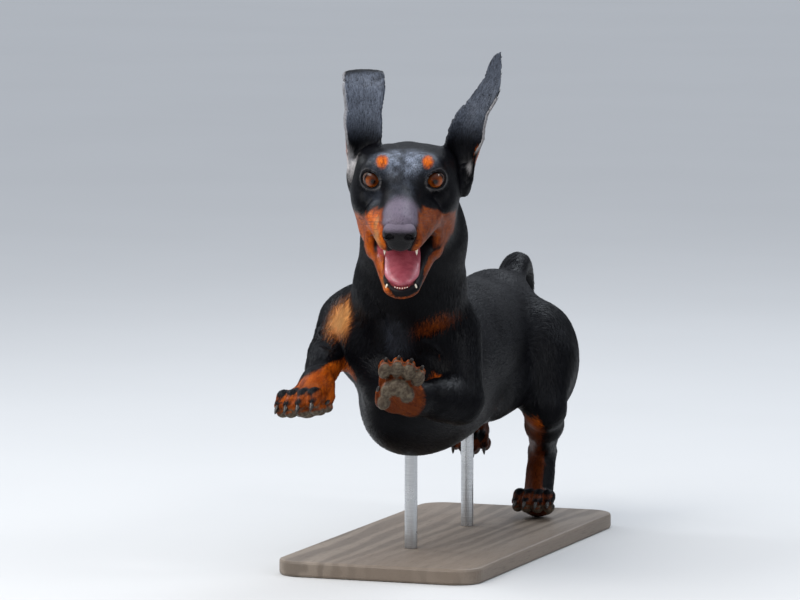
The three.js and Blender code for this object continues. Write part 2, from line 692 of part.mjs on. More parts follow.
function simplified(mesh, wanted) {
  const points = mesh.points.map((p) => p.slice());
  const triangles = mesh.triangles.map((t) => t.slice());
  const planes = points.map(() => NO_PLANE);
  const around = points.map(() => []);
  const stamp = new Uint32Array(points.length);
  triangles.forEach((t, index) => {
    const plane = planeOf(points[t[0]], points[t[1]], points[t[2]]);
    const weight = weightAt(points[t[0]]);
    const weighted = plane.map((value) => value * weight);
    for (const v of t) {
      around[v].push(index);
      planes[v] = together(planes[v], weighted);
    }
  });
  const neighbours = (v) => {
    const found = [];
    for (const index of around[v]) {
      for (const w of triangles[index]) {
        if (w !== v && !found.includes(w)) {
          found.push(w);
        }
      }
    }
    return found;
  };
  const heap = new Heap();
  const propose = (a, b) => {
    const q = together(planes[a], planes[b]);
    const at = bestPlace(q, points[a], points[b]);
    const length = size(sub(points[a], points[b]));
    heap.push({ cost: Math.max(costAt(q, at), 0) + EVENNESS * length ** 3, a, b, at, when: stamp[a] + stamp[b] });
  };

  // A triangle may not turn over or become a sliver when one of its points moves. A sliver may stay one, but it has
  // to face the way that the triangles around the point do.
  const keepsShape = (v, at, gone) => {
    const normals = around[v].map((index) => {
      const [a, b, c] = triangles[index].map((w) => points[w]);
      return cross(sub(b, a), sub(c, a));
    });
    const facing = normals.reduce(add);
    return around[v].every((index, i) => {
      const t = triangles[index];
      if (t.includes(gone)) {
        return true;
      }
      const [a, b, c] = t.map((w) => (w === v ? at : points[w]));
      const normal = cross(sub(b, a), sub(c, a));
      const area = size(normal);
      const longest = Math.max(size(sub(a, b)), size(sub(b, c)), size(sub(c, a)));
      const before = t.map((w) => points[w]);
      const longestBefore = Math.max(...before.map((p, j) => size(sub(p, before[(j + 1) % 3]))));
      const shape = area / longest ** 2;
      const shapeBefore = size(normals[i]) / longestBefore ** 2;
      if (shape < NARROWEST && shape < shapeBefore) {
        return false;
      }
      const [wayBefore, least] = shapeBefore > 0.03 ? [normals[i], 0.2] : [facing, 0];
      return dot(normal, wayBefore) > least * area * size(wayBefore);
    });
  };

  let left = triangles.length;
  for (let round = 0; round < ROUNDS && left > wanted; round++) {
    around.forEach((_, v) => neighbours(v).forEach((w) => v < w && propose(v, w)));
    while (heap.items.length > 0 && left > wanted) {
      const { a, b, at, when } = heap.pop();
      if (when !== stamp[a] + stamp[b] || around[a].length === 0 || around[b].length === 0) {
        continue;
      }
      const nearA = neighbours(a);
      const nearB = neighbours(b);
      const shared = nearA.filter((v) => nearB.includes(v));
      if (!nearA.includes(b) || shared.length !== 2 || shared.some((v) => around[v].length <= 3)) {
        continue;
      }
      if (!keepsShape(a, at, b) || !keepsShape(b, at, a)) {
        continue;
      }
      for (const index of around[b]) {
        const t = triangles[index];
        if (t.includes(a)) {
          for (const v of t) {
            if (v !== b) {
              around[v] = around[v].filter((other) => other !== index);
            }
          }
          triangles[index] = null;
          left -= 1;
        } else {
          t[t.indexOf(b)] = a;
          around[a].push(index);
        }
      }
      around[b] = [];
      points[a] = at;
      planes[a] = together(planes[a], planes[b]);
      stamp[a] += 1;
      stamp[b] += 1;
      neighbours(a).forEach((v) => propose(a, v));
    }
  }

  const kept = triangles.filter((t) => t);
  const names = new Map();
  const used = [];
  for (const t of kept) {
    for (const v of t) {
      if (!names.has(v)) {
        names.set(v, used.length);
        used.push(points[v]);
      }
    }
  }
  return { points: used, triangles: kept.map((t) => t.map((v) => names.get(v))) };
}

// Between point lists, solids that can be joined and cut, and geometry
function solidOf(mesh) {
  return new wasm.Manifold(new wasm.Mesh({
    numProp: 3,
    vertProperties: Float32Array.from(mesh.points.flat()),
    triVerts: Uint32Array.from(mesh.triangles.flat()),
  }));
}

function solidOfGeometry(geometry) {
  geometry.deleteAttribute('normal');
  geometry.deleteAttribute('uv');
  const merged = mergeVertices(geometry, 1e-4);
  return new wasm.Manifold(new wasm.Mesh({
    numProp: 3,
    vertProperties: Float32Array.from(merged.attributes.position.array),
    triVerts: Uint32Array.from(merged.index.array),
  }));
}

function meshOf(solid) {
  const { vertProperties, triVerts, numProp } = solid.getMesh();
  const points = [];
  for (let i = 0; i < vertProperties.length; i += numProp) {
    points.push([vertProperties[i], vertProperties[i + 1], vertProperties[i + 2]]);
  }
  const triangles = [];
  for (let i = 0; i < triVerts.length; i += 3) {
    triangles.push([triVerts[i], triVerts[i + 1], triVerts[i + 2]]);
  }
  return { points, triangles };
}

function largestPiece(solid) {
  return solid.decompose().reduce((best, piece) => (
    piece.getMesh().triVerts.length > best.getMesh().triVerts.length ? piece : best));
}

function geometryOf(mesh) {
  const geometry = new THREE.BufferGeometry();
  geometry.setAttribute('position', new THREE.Float32BufferAttribute(mesh.points.flat(), 3));
  geometry.setIndex(mesh.triangles.flat());
  geometry.computeVertexNormals();
  return geometry;
}

// A closed mesh with every point moved outward, for the hollow that a piece sits in.
function grown(mesh, by) {
  const normals = mesh.points.map(() => [0, 0, 0]);
  for (const t of mesh.triangles) {
    const [a, b, c] = t.map((v) => mesh.points[v]);
    const normal = cross(sub(b, a), sub(c, a));
    for (const v of t) {
      normals[v] = add(normals[v], normal);
    }
  }
  return { points: mesh.points.map((p, i) => add(p, scale(unit(normals[i]), by))), triangles: mesh.triangles };
}

// A region of space behind a few planes. Each plane has a point on it and the direction that leads out.
const REGION_SIZE = 1600;

function regionDistance(region, p) {
  return Math.max(...region.map(({ at, out }) => dot(sub(p, at), out)));
}

function regionSolid(region, by) {
  return region.map(({ at, out }) => {
    const half = new THREE.BoxGeometry(REGION_SIZE, REGION_SIZE, REGION_SIZE);
    half.translate(0, 0, -REGION_SIZE / 2);
    half.applyQuaternion(new THREE.Quaternion().setFromUnitVectors(new THREE.Vector3(0, 0, 1), new THREE.Vector3(...out)));
    half.translate(...add(at, scale(out, by)));
    return solidOfGeometry(half);
  }).reduce((a, b) => a.intersect(b));
}

const plane = (at, out, frame = WORLD) => ({ at: placed(frame, at), out: unit(turned(frame, out)) });

// The cuts that part the dog, from its ends inward. A limb's cut lies across it, some way from one joint to the next.
const across = (from, to, t) => plane(mix(from, to, t), sub(from, to));
const below = (z) => plane([0, 0, z], [0, 0, 1]);
const above = (z) => plane([0, 0, z], [0, 0, -1]);
const leftOf = (x) => plane([x, 0, 0], [-1, 0, 0]);
const rightOf = (x) => plane([x, 0, 0], [1, 0, 0]);
const inFrontOf = (y) => plane([0, y, 0], [0, 1, 0]);
const behind = (y) => plane([0, y, 0], [0, -1, 0]);

const REGIONS = {
  ear_right: [plane([-40, -48, 16], [0.35, 0.1, -0.93], head), plane([-19, 0, 0], [1, 0, 0], head)],
  ear_left: [plane([42, -48, 16], [-0.45, 0.1, -0.89], head), plane([19, 0, 0], [-1, 0, 0], head)],
  lower_jaw: [plane([0, 14, -54], [0, 0.158, 0.987], head), plane([0, -26, -50], [0, -1, 0], head), above(235)],
  head: [plane([0, -84, -52], [0, -0.72, -0.7], head), above(250)],
  whole_head: [plane([0, -84, -52], [0, -0.72, -0.7], head), above(235)],
  neck: [plane([6, -160, 246], [-0.15, 0.66, -0.74]), above(222)],
  fore_paw_right: [across(FORE_RIGHT.elbow, FORE_RIGHT.wrist, 0.92), below(225), rightOf(0)],
  fore_paw_left: [across(FORE_LEFT.elbow, FORE_LEFT.wrist, 0.9), below(228), leftOf(6)],
  forearm_right: [across(FORE_RIGHT.elbow, FORE_RIGHT.wrist, 0.2), below(228), plane([-27, -205, 0], [1, 0.12, 0])],
  forearm_left: [across(FORE_LEFT.elbow, FORE_LEFT.wrist, 0.1), below(200), plane([42, -205, 0], [-1, 0.3, 0])],
  upper_arm_right: [plane([-38, -170, 180], [0.9, 0.3, 0.1]), plane([0, -118, 190], [0, 1, 0.25]), below(244)],
  upper_arm_left: [plane([38, -170, 180], [-0.9, 0.3, 0.1]), plane([0, -118, 190], [0, 1, 0.25]), below(240)],
  hind_paw_left: [across(HIND_LEFT.hock, HIND_LEFT.paw, 0.35), below(70), above(GAP)],
  shank_left: [across(HIND_LEFT.knee, HIND_LEFT.hock, 0.22), below(122), inFrontOf(240), leftOf(5)],
  thigh_left: [plane([26, 140, 160], [-1, 0, 0.12]), plane([0, 0, 212], [0, 0.1, 1]), behind(62)],
  hind_paw_right: [across(HIND_RIGHT.hock, HIND_RIGHT.paw, 0.35), plane([0, 150, 104], [0, -0.35, 1]), rightOf(-8)],
  shank_right: [across(HIND_RIGHT.knee, HIND_RIGHT.hock, 0.25), rightOf(-14), plane([0, 150, 143], [0, 0.1, 1])],
  thigh_right: [plane([-26, 140, 160], [1, 0, 0.12]), plane([0, 0, 212], [0, 0.1, 1]), behind(62)],
  tail_root: [plane([0, 203, 222], [0, -0.76, -0.65])],
  tail_end: [plane([0, 262, 212], [0, -0.36, 0.93]), behind(232)],
  torso: [],
  everything: [],
};

// Each piece in the order of cutting: whose regions it gives way to, and its finish.
const PIECES = {
  ear_right: { clear: [], finish: 'black' },
  ear_left: { clear: [], finish: 'black' },
  lower_jaw: { clear: [], finish: 'tan' },
  head: { clear: ['ear_right', 'ear_left', 'lower_jaw'], finish: 'black' },
  fore_paw_right: { clear: [], finish: 'tan' },
  fore_paw_left: { clear: [], finish: 'tan' },
  hind_paw_left: { clear: [], finish: 'tan' },
  hind_paw_right: { clear: [], finish: 'tan' },
  tail_end: { clear: [], finish: 'black' },
  tail_root: { clear: ['tail_end'], finish: 'black' },
  neck: { clear: ['head', 'lower_jaw'], finish: 'black' },
  forearm_right: { clear: ['fore_paw_right'], finish: 'tan' },
  forearm_left: { clear: ['fore_paw_left'], finish: 'black' },
  upper_arm_right: { clear: ['forearm_right', 'neck'], finish: 'black' },
  upper_arm_left: { clear: ['forearm_left', 'neck'], finish: 'black' },
  shank_left: { clear: ['hind_paw_left'], finish: 'tan' },
  thigh_left: { clear: ['shank_left'], finish: 'black' },
  shank_right: { clear: ['hind_paw_right'], finish: 'tan' },
  thigh_right: { clear: ['shank_right'], finish: 'black' },
  torso: {
    clear: ['neck', 'upper_arm_right', 'upper_arm_left', 'forearm_right', 'forearm_left', 'fore_paw_right',
      'fore_paw_left', 'thigh_left', 'thigh_right', 'shank_left', 'shank_right', 'hind_paw_left', 'hind_paw_right',
      'tail_root', 'head'],
    finish: 'black',
  },
};

// Neighbouring pieces are drawn together, so that their surfaces meet at the cuts, and cut apart afterwards. Each
// group has the cell of its grid and the number of triangles it is simplified to.
const GROUPS = [
  { pieces: ['ear_right', 'ear_left', 'lower_jaw', 'head'], region: 'whole_head', clear: [], cell: 2, wanted: 4900 },
  { pieces: ['fore_paw_right'], region: 'fore_paw_right', clear: [], cell: 2, wanted: 700 },
  { pieces: ['fore_paw_left'], region: 'fore_paw_left', clear: [], cell: 2, wanted: 700 },
  { pieces: ['hind_paw_left'], region: 'hind_paw_left', clear: [], cell: 2, wanted: 560 },
  { pieces: ['hind_paw_right'], region: 'hind_paw_right', clear: [], cell: 2, wanted: 560 },
  { pieces: ['tail_end', 'tail_root'], region: 'tail_root', clear: [], cell: 2.8, wanted: 380 },
  {
    pieces: ['neck', 'forearm_right', 'forearm_left', 'upper_arm_right', 'upper_arm_left', 'shank_left',
      'thigh_left', 'shank_right', 'thigh_right', 'torso'],
    region: 'everything',
    clear: ['whole_head', 'fore_paw_right', 'fore_paw_left', 'hind_paw_left', 'hind_paw_right', 'tail_root'],
    cell: 5,
    wanted: 3000,
  },
];

// A coarse look at the whole dog, which gives the box that each piece lies in
const COARSE = 9;

function coarsePoints() {
  const found = [];
  for (let z = -10; z < 490; z += COARSE) {
    for (let y = -410; y < 350; y += COARSE) {
      for (let x = -110; x < 190; x += COARSE) {
        if (dogField([x, y, z]) < COARSE) {
          found.push([x, y, z]);
        }
      }
    }
  }
  return found;
}

const roughDog = coarsePoints();

// Draws a group of pieces, a little past its own region, as one closed mesh.
function drawnGroup({ region, clear, cell, wanted }) {
  const margin = 1.6 * cell;
  const within = (p) => Math.max(
    REGIONS[region].length > 0 ? regionDistance(REGIONS[region], p) - margin : -1000,
    ...clear.map((other) => -regionDistance(REGIONS[other], p) - margin),
  );
  const held = roughDog.filter((p) => within(p) < COARSE);
  const low = [0, 1, 2].map((i) => held.reduce((least, p) => Math.min(least, p[i]), Infinity) - COARSE);
  const high = [0, 1, 2].map((i) => held.reduce((most, p) => Math.max(most, p[i]), -Infinity) + COARSE);
  const drawn = surfaceOf((p) => Math.max(dogField(p), within(p)), low, high, cell);
  return solidOf(simplified(drawn, wanted));
}

function pieceOf(group, name) {
  let solid = group;
  if (REGIONS[name].length > 0) {
    solid = solid.intersect(regionSolid(REGIONS[name], 0));
  }
  for (const other of PIECES[name].clear) {
    solid = solid.subtract(regionSolid(REGIONS[other], GAP));
  }
  return largestPiece(solid);
}

// A small lump with a skin of its own
function softPiece(lumps, cell, wanted) {
  const low = [0, 1, 2].map((i) => Math.min(...lumps.map((l) => l.centre[i] - l.reach)) - 2 * cell);
  const high = [0, 1, 2].map((i) => Math.max(...lumps.map((l) => l.centre[i] + l.reach)) + 2 * cell);
  return simplified(surfaceOf(fieldOf(lumps), low, high, cell), wanted);
}

// A curved spike, such as a claw or a tooth: rings that shrink along a bent line to a point.
function spike(root, tip, bendWay, bend, radius, sides, rings = 3) {
  const points = [];
  const triangles = [];
  const way = unit(sub(tip, root));
  const aside = unit(cross(way, Math.abs(way[2]) < 0.9 ? [0, 0, 1] : [1, 0, 0]));
  const other = cross(way, aside);
  for (let ring = 0; ring < rings; ring++) {
    const t = ring / rings;
    const middle = add(mix(root, tip, t), scale(bendWay, bend * Math.sin(Math.PI * t)));
    for (let i = 0; i < sides; i++) {
      const angle = 2 * Math.PI * i / sides;
      const arm = add(scale(aside, Math.cos(angle)), scale(other, Math.sin(angle)));
      points.push(add(middle, scale(arm, radius * (1 - 0.75 * t * t))));
    }
  }
  const last = points.push(tip) - 1;
  const first = points.push(root) - 1;
  for (let i = 0; i < sides; i++) {
    const next = (i + 1) % sides;
    triangles.push([first, next, i]);
    triangles.push([last, (rings - 1) * sides + i, (rings - 1) * sides + next]);
    for (let ring = 0; ring + 1 < rings; ring++) {
      const [a, b] = [ring * sides + i, ring * sides + next];
      triangles.push([a, b, b + sides], [a, b + sides, a + sides]);
    }
  }
  return solidOf({ points, triangles });
}

function claws(leg, isFore) {
  const s = leg.size;
  const frame = pawFrame(leg);
  const made = PAW.toeAcross.map((across) => {
    const reach = (Math.abs(across) > 10 ? 20 : 25) * s;
    const root = placed(frame, [across * s * 1.1, reach, 4 * s]);
    const tip = placed(frame, [across * s * 1.16, reach + PAW.clawLength * s, -2.5 * s]);
    return spike(root, tip, frame.axes[2], 1.6, PAW.clawRadius * s, PAW.clawSides);
  });
  if (isFore) {
    const side = Math.sign(leg.paw[0]);
    const root = placed(frame, [side * 15, -12 * s, 0]);
    made.push(spike(root, placed(frame, [side * 17, -1, -3]), frame.axes[0], side, PAW.clawRadius * 0.8, PAW.clawSides));
  }
  return made;
}

// Teeth stand on the rims of both jaws: small front teeth and a fang at each side. Lips and tongue hide the others.
const TEETH = { front: 6, frontSpread: 13, sides: 6 };

function teethOf(frame, row, up) {
  const made = [];
  const tooth = ([x, y, z], height, radius) => {
    const root = placed(frame, [x, y, z - up * 3]);
    made.push(spike(root, placed(frame, [x * 1.04, y, z + up * height]), frame.axes[1], 0.4, radius, TEETH.sides, 2));
  };
  for (let i = 0; i < TEETH.front; i++) {
    const t = (i + 0.5) / TEETH.front * 2 - 1;
    tooth([t * TEETH.frontSpread / 2, row.front - 2 * t * t, row.level], row.frontHeight, 1.3);
  }
  for (const side of [-1, 1]) {
    tooth([side * row.fang, row.front - row.fangBack, row.level], row.fangHeight, 2.2);
  }
  return made;
}

const LOWER_TEETH = { front: 78, frontHeight: 1.8, level: -48, fang: 12.5, fangBack: 5, fangHeight: 3.6 };
const UPPER_TEETH = { front: 79, frontHeight: 3.6, level: -38, fang: 14, fangBack: 9, fangHeight: 14.5 };

// The stand: a flat base with rounded corners and two upright rods that end in blind sockets in the belly.
function standBase() {
  const { length, width, height, cornerRadius, edgeRound } = STAND;
  const [halfWidth, halfLength] = [width / 2 - edgeRound, length / 2 - edgeRound];
  const r = cornerRadius - edgeRound;
  const outline = new THREE.Shape();
  outline.moveTo(-halfWidth + r, -halfLength);
  outline.absarc(halfWidth - r, -halfLength + r, r, -Math.PI / 2, 0);
  outline.absarc(halfWidth - r, halfLength - r, r, 0, Math.PI / 2);
  outline.absarc(-halfWidth + r, halfLength - r, r, Math.PI / 2, Math.PI);
  outline.absarc(-halfWidth + r, -halfLength + r, r, Math.PI, Math.PI * 1.5);
  const plate = new THREE.ExtrudeGeometry(outline, {
    depth: height - 2 * edgeRound, bevelThickness: edgeRound, bevelSize: edgeRound, bevelSegments: 2, curveSegments: 5,
  });
  plate.translate(STAND.centre[0], STAND.centre[1], edgeRound - height);
  return solidOfGeometry(plate);
}

// How high the underside of the trunk is above a point of the base
function undersideAt([x, y]) {
  let z = 40;
  while (dogField([x, y, z]) > 0) {
    z += 0.5;
  }
  return z;
}

function rodSolid(at, from, to, radius) {
  const rod = new THREE.CylinderGeometry(radius, radius, to - from, STAND.rodSides);
  rod.rotateX(Math.PI / 2);
  rod.translate(at[0], at[1], (from + to) / 2);
  return solidOfGeometry(rod);
}

// Making every piece
const solids = new Map();
for (const group of GROUPS) {
  const whole = drawnGroup(group);
  for (const name of group.pieces) {
    solids.set(name, { solid: pieceOf(whole, name), finish: PIECES[name].finish });
  }
}

const addTo = (name, pieces) => {
  const entry = solids.get(name);
  entry.solid = largestPiece(pieces.reduce((whole, piece) => whole.add(piece), entry.solid));
};
addTo('lower_jaw', teethOf(jaw, LOWER_TEETH, 1));
addTo('head', teethOf(head, UPPER_TEETH, -1));

const eyes = [-1, 1].map((side) => {
  const globe = new THREE.IcosahedronGeometry(EYE.radius, 2);
  globe.translate(...placed(head, [side * EYE.at[0], EYE.at[1], EYE.at[2]]));
  return { name: side < 0 ? 'eye_right' : 'eye_left', mesh: meshOf(solidOfGeometry(globe)), finish: 'eye' };
});
const softPieces = [
  ...eyes,
  { name: 'nose', mesh: softPiece(noseLumps, 1.1, 360), finish: 'nose' },
  { name: 'tongue', mesh: softPiece(tongueLumps, 1.7, 260), finish: 'tongue' },
];
for (const { name, mesh, finish } of softPieces) {
  const socket = solidOf(grown(mesh, GAP * 1.5)).add(solidOf(mesh));
  for (const host of ['head', 'lower_jaw']) {
    const entry = solids.get(host);
    entry.solid = largestPiece(entry.solid.subtract(socket));
  }
  solids.set(name, { solid: solidOf(mesh), finish });
}

addTo('fore_paw_right', claws(FORE_RIGHT, true));
addTo('fore_paw_left', claws(FORE_LEFT, true));
addTo('hind_paw_left', claws(HIND_LEFT, false));
addTo('hind_paw_right', claws(HIND_RIGHT, false));

for (const [name, at] of [['stand_rod_front', STAND.frontRod], ['stand_rod_rear', STAND.rearRod]]) {
  const top = undersideAt(at) + STAND.rodSunk;
  const torso = solids.get('torso');
  torso.solid = torso.solid.subtract(rodSolid(at, -GAP, top + GAP, STAND.rodRadius + GAP));
  solids.set(name, { solid: rodSolid(at, GAP, top, STAND.rodRadius), finish: 'steel' });
}
solids.set('stand_base', { solid: standBase(), finish: 'wood' });

const dachshund = new THREE.Group();
dachshund.position.set(-STAND.centre[0], -STAND.centre[1], STAND.height);
for (const [name, { solid, finish }] of solids) {
  const mesh = new THREE.Mesh(geometryOf(meshOf(solid)), new THREE.MeshStandardMaterial(COLOURS[finish]));
  mesh.name = name;
  dachshund.add(mesh);
}

export default dachshund;
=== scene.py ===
# The looks of the leaping dachshund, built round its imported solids.
#
# One skin is drawn over the same lumps of clay that the solids are drawn from, a little inside them, and
# carries the markings. Thin solid tufts lie on it along the lie of the coat. Eyes, nose, tongue, teeth, claws
# and whiskers are pieces of their own. Lengths are millimetres in the dog's own axes, as in the solids, until
# a mesh is handed over.
import math

import bpy
import numpy as np
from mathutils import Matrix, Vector


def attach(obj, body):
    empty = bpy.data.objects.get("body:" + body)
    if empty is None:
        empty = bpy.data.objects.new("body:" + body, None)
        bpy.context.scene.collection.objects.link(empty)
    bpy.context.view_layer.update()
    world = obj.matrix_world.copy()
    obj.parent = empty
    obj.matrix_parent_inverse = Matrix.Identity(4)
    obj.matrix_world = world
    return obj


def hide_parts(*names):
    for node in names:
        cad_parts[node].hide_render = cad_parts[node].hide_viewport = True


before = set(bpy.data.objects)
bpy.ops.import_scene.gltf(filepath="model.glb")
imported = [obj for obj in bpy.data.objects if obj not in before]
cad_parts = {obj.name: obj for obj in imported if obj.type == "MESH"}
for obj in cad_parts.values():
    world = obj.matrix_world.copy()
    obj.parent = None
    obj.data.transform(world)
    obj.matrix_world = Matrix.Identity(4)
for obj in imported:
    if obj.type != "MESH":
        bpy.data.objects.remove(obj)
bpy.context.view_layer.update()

rng = np.random.default_rng(20)

# Sizes that the solids have too
STAND = {"centre": (4, -15), "height": 15}
HEAD = {"between": (57, -290, 366), "turn": 17.6, "dip": 11, "gape": 16.5, "hinge": (0, -45, -35)}
EYE = {"at": (27.5, -4, 0), "radius": 10.5, "lid": 2.0, "half_width": 10.3, "half_height": 8.1, "outward": 24}
NOSE = {"at": (0, 89, -24)}
FORE_RIGHT = {
    "shoulder": (-50, -146, 214), "shoulder_radius": 31, "elbow": (-55, -190, 190), "elbow_radius": 18,
    "arm_radius": 15.5, "wrist": (-41, -254, 170), "wrist_radius": 14.5, "paw": (-42, -275, 155),
    "toes": (-0.12, -0.96, -0.1), "back": (-0.14, -0.1, 0.98), "size": 1.03,
}
FORE_LEFT = {
    "shoulder": (50, -150, 208), "shoulder_radius": 33, "elbow": (76, -190, 153), "elbow_radius": 23,
    "arm_radius": 20, "wrist": (53, -253, 160), "wrist_radius": 15, "paw": (46, -274, 173),
    "toes": (0.33, -0.27, 0.9), "back": (-0.27, 0.89, 0.37), "size": 0.95,
}
HIND_LEFT = {
    "hip": (38, 148, 178), "thigh": (43, 147, 152), "thigh_radii": (34, 58, 57), "knee": (66, 88, 112),
    "knee_radius": 20, "hock": (37, 166, 60), "hock_radius": 12.5, "paw": (45, 128, 14.6),
    "toes": (0.05, -1, 0), "back": (0, 0, 1), "size": 0.93,
}
HIND_RIGHT = {
    "hip": (-42, 148, 180), "thigh": (-45, 142, 168), "thigh_radii": (31, 50, 50), "knee": (-56, 98, 132),
    "knee_radius": 20, "hock": (-39, 192, 121), "hock_radius": 12, "paw": (-36, 168, 78),
    "toes": (0.02, -0.62, -0.78), "back": (0, -0.78, 0.62), "size": 0.9,
}
LEGS = {"fore right": FORE_RIGHT, "fore left": FORE_LEFT, "hind left": HIND_LEFT, "hind right": HIND_RIGHT}
TOE_ACROSS = (-15.6, -5.4, 5.4, 15.6)
TAIL_SPINE = (
    (-6, 184, 218), (-7, 208, 236), (-8, 227, 238), (-9, 243, 228), (-10, 255, 205), (-12, 264, 175),
    (-14, 276, 142), (-16, 294, 112), (-18, 320, 88),
)
TAIL_ROOT_RADIUS, TAIL_TIP_RADIUS, TAIL_STEPS = 16, 3.6, 20


# Vectors and frames. A frame is an origin and three axes, as rows.
def vec(*numbers):
    return np.array(numbers, float)


def unit(v):
    return np.asarray(v, float) / np.linalg.norm(v)


def units(v):
    return v / np.maximum(np.linalg.norm(v, axis=1, keepdims=True), 1e-9)


def mix(a, b, t):
    return np.asarray(a, float) + (np.asarray(b, float) - np.asarray(a, float)) * t


def smooth(low, high, value):
    t = np.clip((value - low) / (high - low), 0, 1)
    return t * t * (3 - 2 * t)


def either(*masks):
    return np.max(masks, axis=0)


def both(*masks):
    return np.min(masks, axis=0)


class Frame:
    def __init__(self, origin, axes):
        self.origin = np.asarray(origin, float)
        self.axes = np.asarray(axes, float)

    def out(self, points):
        return self.origin + np.asarray(points, float) @ self.axes

    def way(self, vectors):
        return np.asarray(vectors, float) @ self.axes

    def into(self, points):
        return (np.asarray(points, float) - self.origin) @ self.axes.T


WORLD = Frame((0, 0, 0), np.eye(3))


def head_frame():
    turn, dip = math.radians(HEAD["turn"]), math.radians(HEAD["dip"])
    left = vec(math.cos(turn), math.sin(turn), 0)
    forward = vec(math.sin(turn) * math.cos(dip), -math.cos(turn) * math.cos(dip), -math.sin(dip))
    return Frame(HEAD["between"], (left, forward, np.cross(forward, left)))


def jaw_frame(head):
    gape = math.radians(HEAD["gape"])
    left, forward, up = head.axes
    jaw_forward = forward * math.cos(gape) - up * math.sin(gape)
    jaw_up = up * math.cos(gape) + forward * math.sin(gape)
    made = Frame((0, 0, 0), (left, jaw_forward, jaw_up))
    made.origin = head.out(HEAD["hinge"]) - made.way(HEAD["hinge"])
    return made


def paw_frame(leg):
    toes = unit(leg["toes"])
    across = unit(np.cross(toes, leg["back"]))
    return Frame(leg["paw"], (across, toes, np.cross(across, toes)))


head = head_frame()
jaw = jaw_frame(head)


# Lumps of clay, with the same meaning as in the solids
def ball(at, radii, blend=0, lean=0):
    c, s = math.cos(math.radians(lean)), math.sin(math.radians(lean))
    own = ((1, 0, 0), (0, c, s), (0, -s, c))
    return {"kind": "ball", "at": at, "radii": radii, "blend": blend, "own": own}


def bone(start, start_radius, end, end_radius, blend=0):
    return {"kind": "bone", "from": start, "r0": start_radius, "to": end, "r1": end_radius, "blend": blend}


def carved(lump):
    return {**lump, "carve": True}


def pair(lump):
    other = dict(lump)
    for key in ("at", "from", "to"):
        if key in lump:
            x, y, z = lump[key]
            other[key] = (-x, y, z)
    return [lump, other]


SHEET_STEPS = 3


def curve_point(points, t):
    """A point of the smooth curve through the points (centripetal Catmull-Rom)."""
    count = len(points)
    i = min(int((count - 1) * t), count - 2)
    w = (count - 1) * t - i
    before = points[i - 1] if i > 0 else 2 * points[0] - points[1]
    a, b = points[i], points[i + 1]
    after = points[i + 2] if i + 2 < count else 2 * points[-1] - points[-2]
    d0, d1, d2 = (math.sqrt(np.linalg.norm(q - p)) for p, q in ((before, a), (a, b), (b, after)))
    start = ((a - before) / d0 - (b - before) / (d0 + d1) + (b - a) / d1) * d1
    end = ((b - a) / d1 - (after - a) / (d1 + d2) + (after - b) / d2) * d1
    return a + start * w + (3 * (b - a) - 2 * start - end) * w ** 2 + (2 * (a - b) + start + end) * w ** 3


def smooth_stations(stations):
    points = [vec(*s["at"]) for s in stations]
    count = (len(stations) - 1) * SHEET_STEPS
    fine = []
    for i in range(count + 1):
        before = min(i // SHEET_STEPS, len(stations) - 2)
        t = i / SHEET_STEPS - before
        a, b = stations[before], stations[before + 1]
        fine.append({
            "at": curve_point(points, i / count),
            "across": mix(a["across"], b["across"], t),
            "hollow": mix(a["hollow"], b["hollow"], t),
            "half": mix(a["half"], b["half"], t),
            "bend": mix(1 / a["radius"], 1 / b["radius"], t),
        })
    return fine


def flat(lumps):
    for lump in lumps:
        if isinstance(lump, list):
            yield from lump
        else:
            yield lump


def place(where, lumps):
    placed = []
    for lump in flat(lumps):
        lump = dict(lump)
        if lump["kind"] == "ball":
            lump["axes"] = where.way(lump["own"])
            lump["at"] = lump["centre"] = where.out(lump["at"])
            lump["radii"] = np.asarray(lump["radii"], float)
            lump["reach"] = lump["radii"].max()
        elif lump["kind"] == "bone":
            start, end = where.out(lump["from"]), where.out(lump["to"])
            lump.update(start=start, along=end - start, centre=(start + end) / 2)
            lump["reach"] = np.linalg.norm(end - start) / 2 + max(lump["r0"], lump["r1"])
        else:
            stations = smooth_stations(lump["stations"])
            for s in stations:
                s.update(at=where.out(s["at"]), across=where.way(s["across"]), hollow=where.way(s["hollow"]))
            lump["stations"] = stations
            lump["centre"] = stations[len(stations) // 2]["at"]
            lump["reach"] = max(np.linalg.norm(s["at"] - lump["centre"]) + s["half"] for s in stations)
        placed.append(lump)
    return placed


def ball_distance(lump, p, _):
    q = (p - lump["at"]) @ lump["axes"].T / lump["radii"]
    inner = np.sqrt((q * q).sum(1))
    outer = np.sqrt(((q / lump["radii"]) ** 2).sum(1))
    return inner * (inner - 1) / np.maximum(outer, 1e-9)


def bone_distance(lump, p, _):
    d = p - lump["start"]
    along = lump["along"]
    t = np.clip(d @ along / (along @ along), 0, 1)
    return np.linalg.norm(d - t[:, None] * along, axis=1) - (lump["r0"] + (lump["r1"] - lump["r0"]) * t)


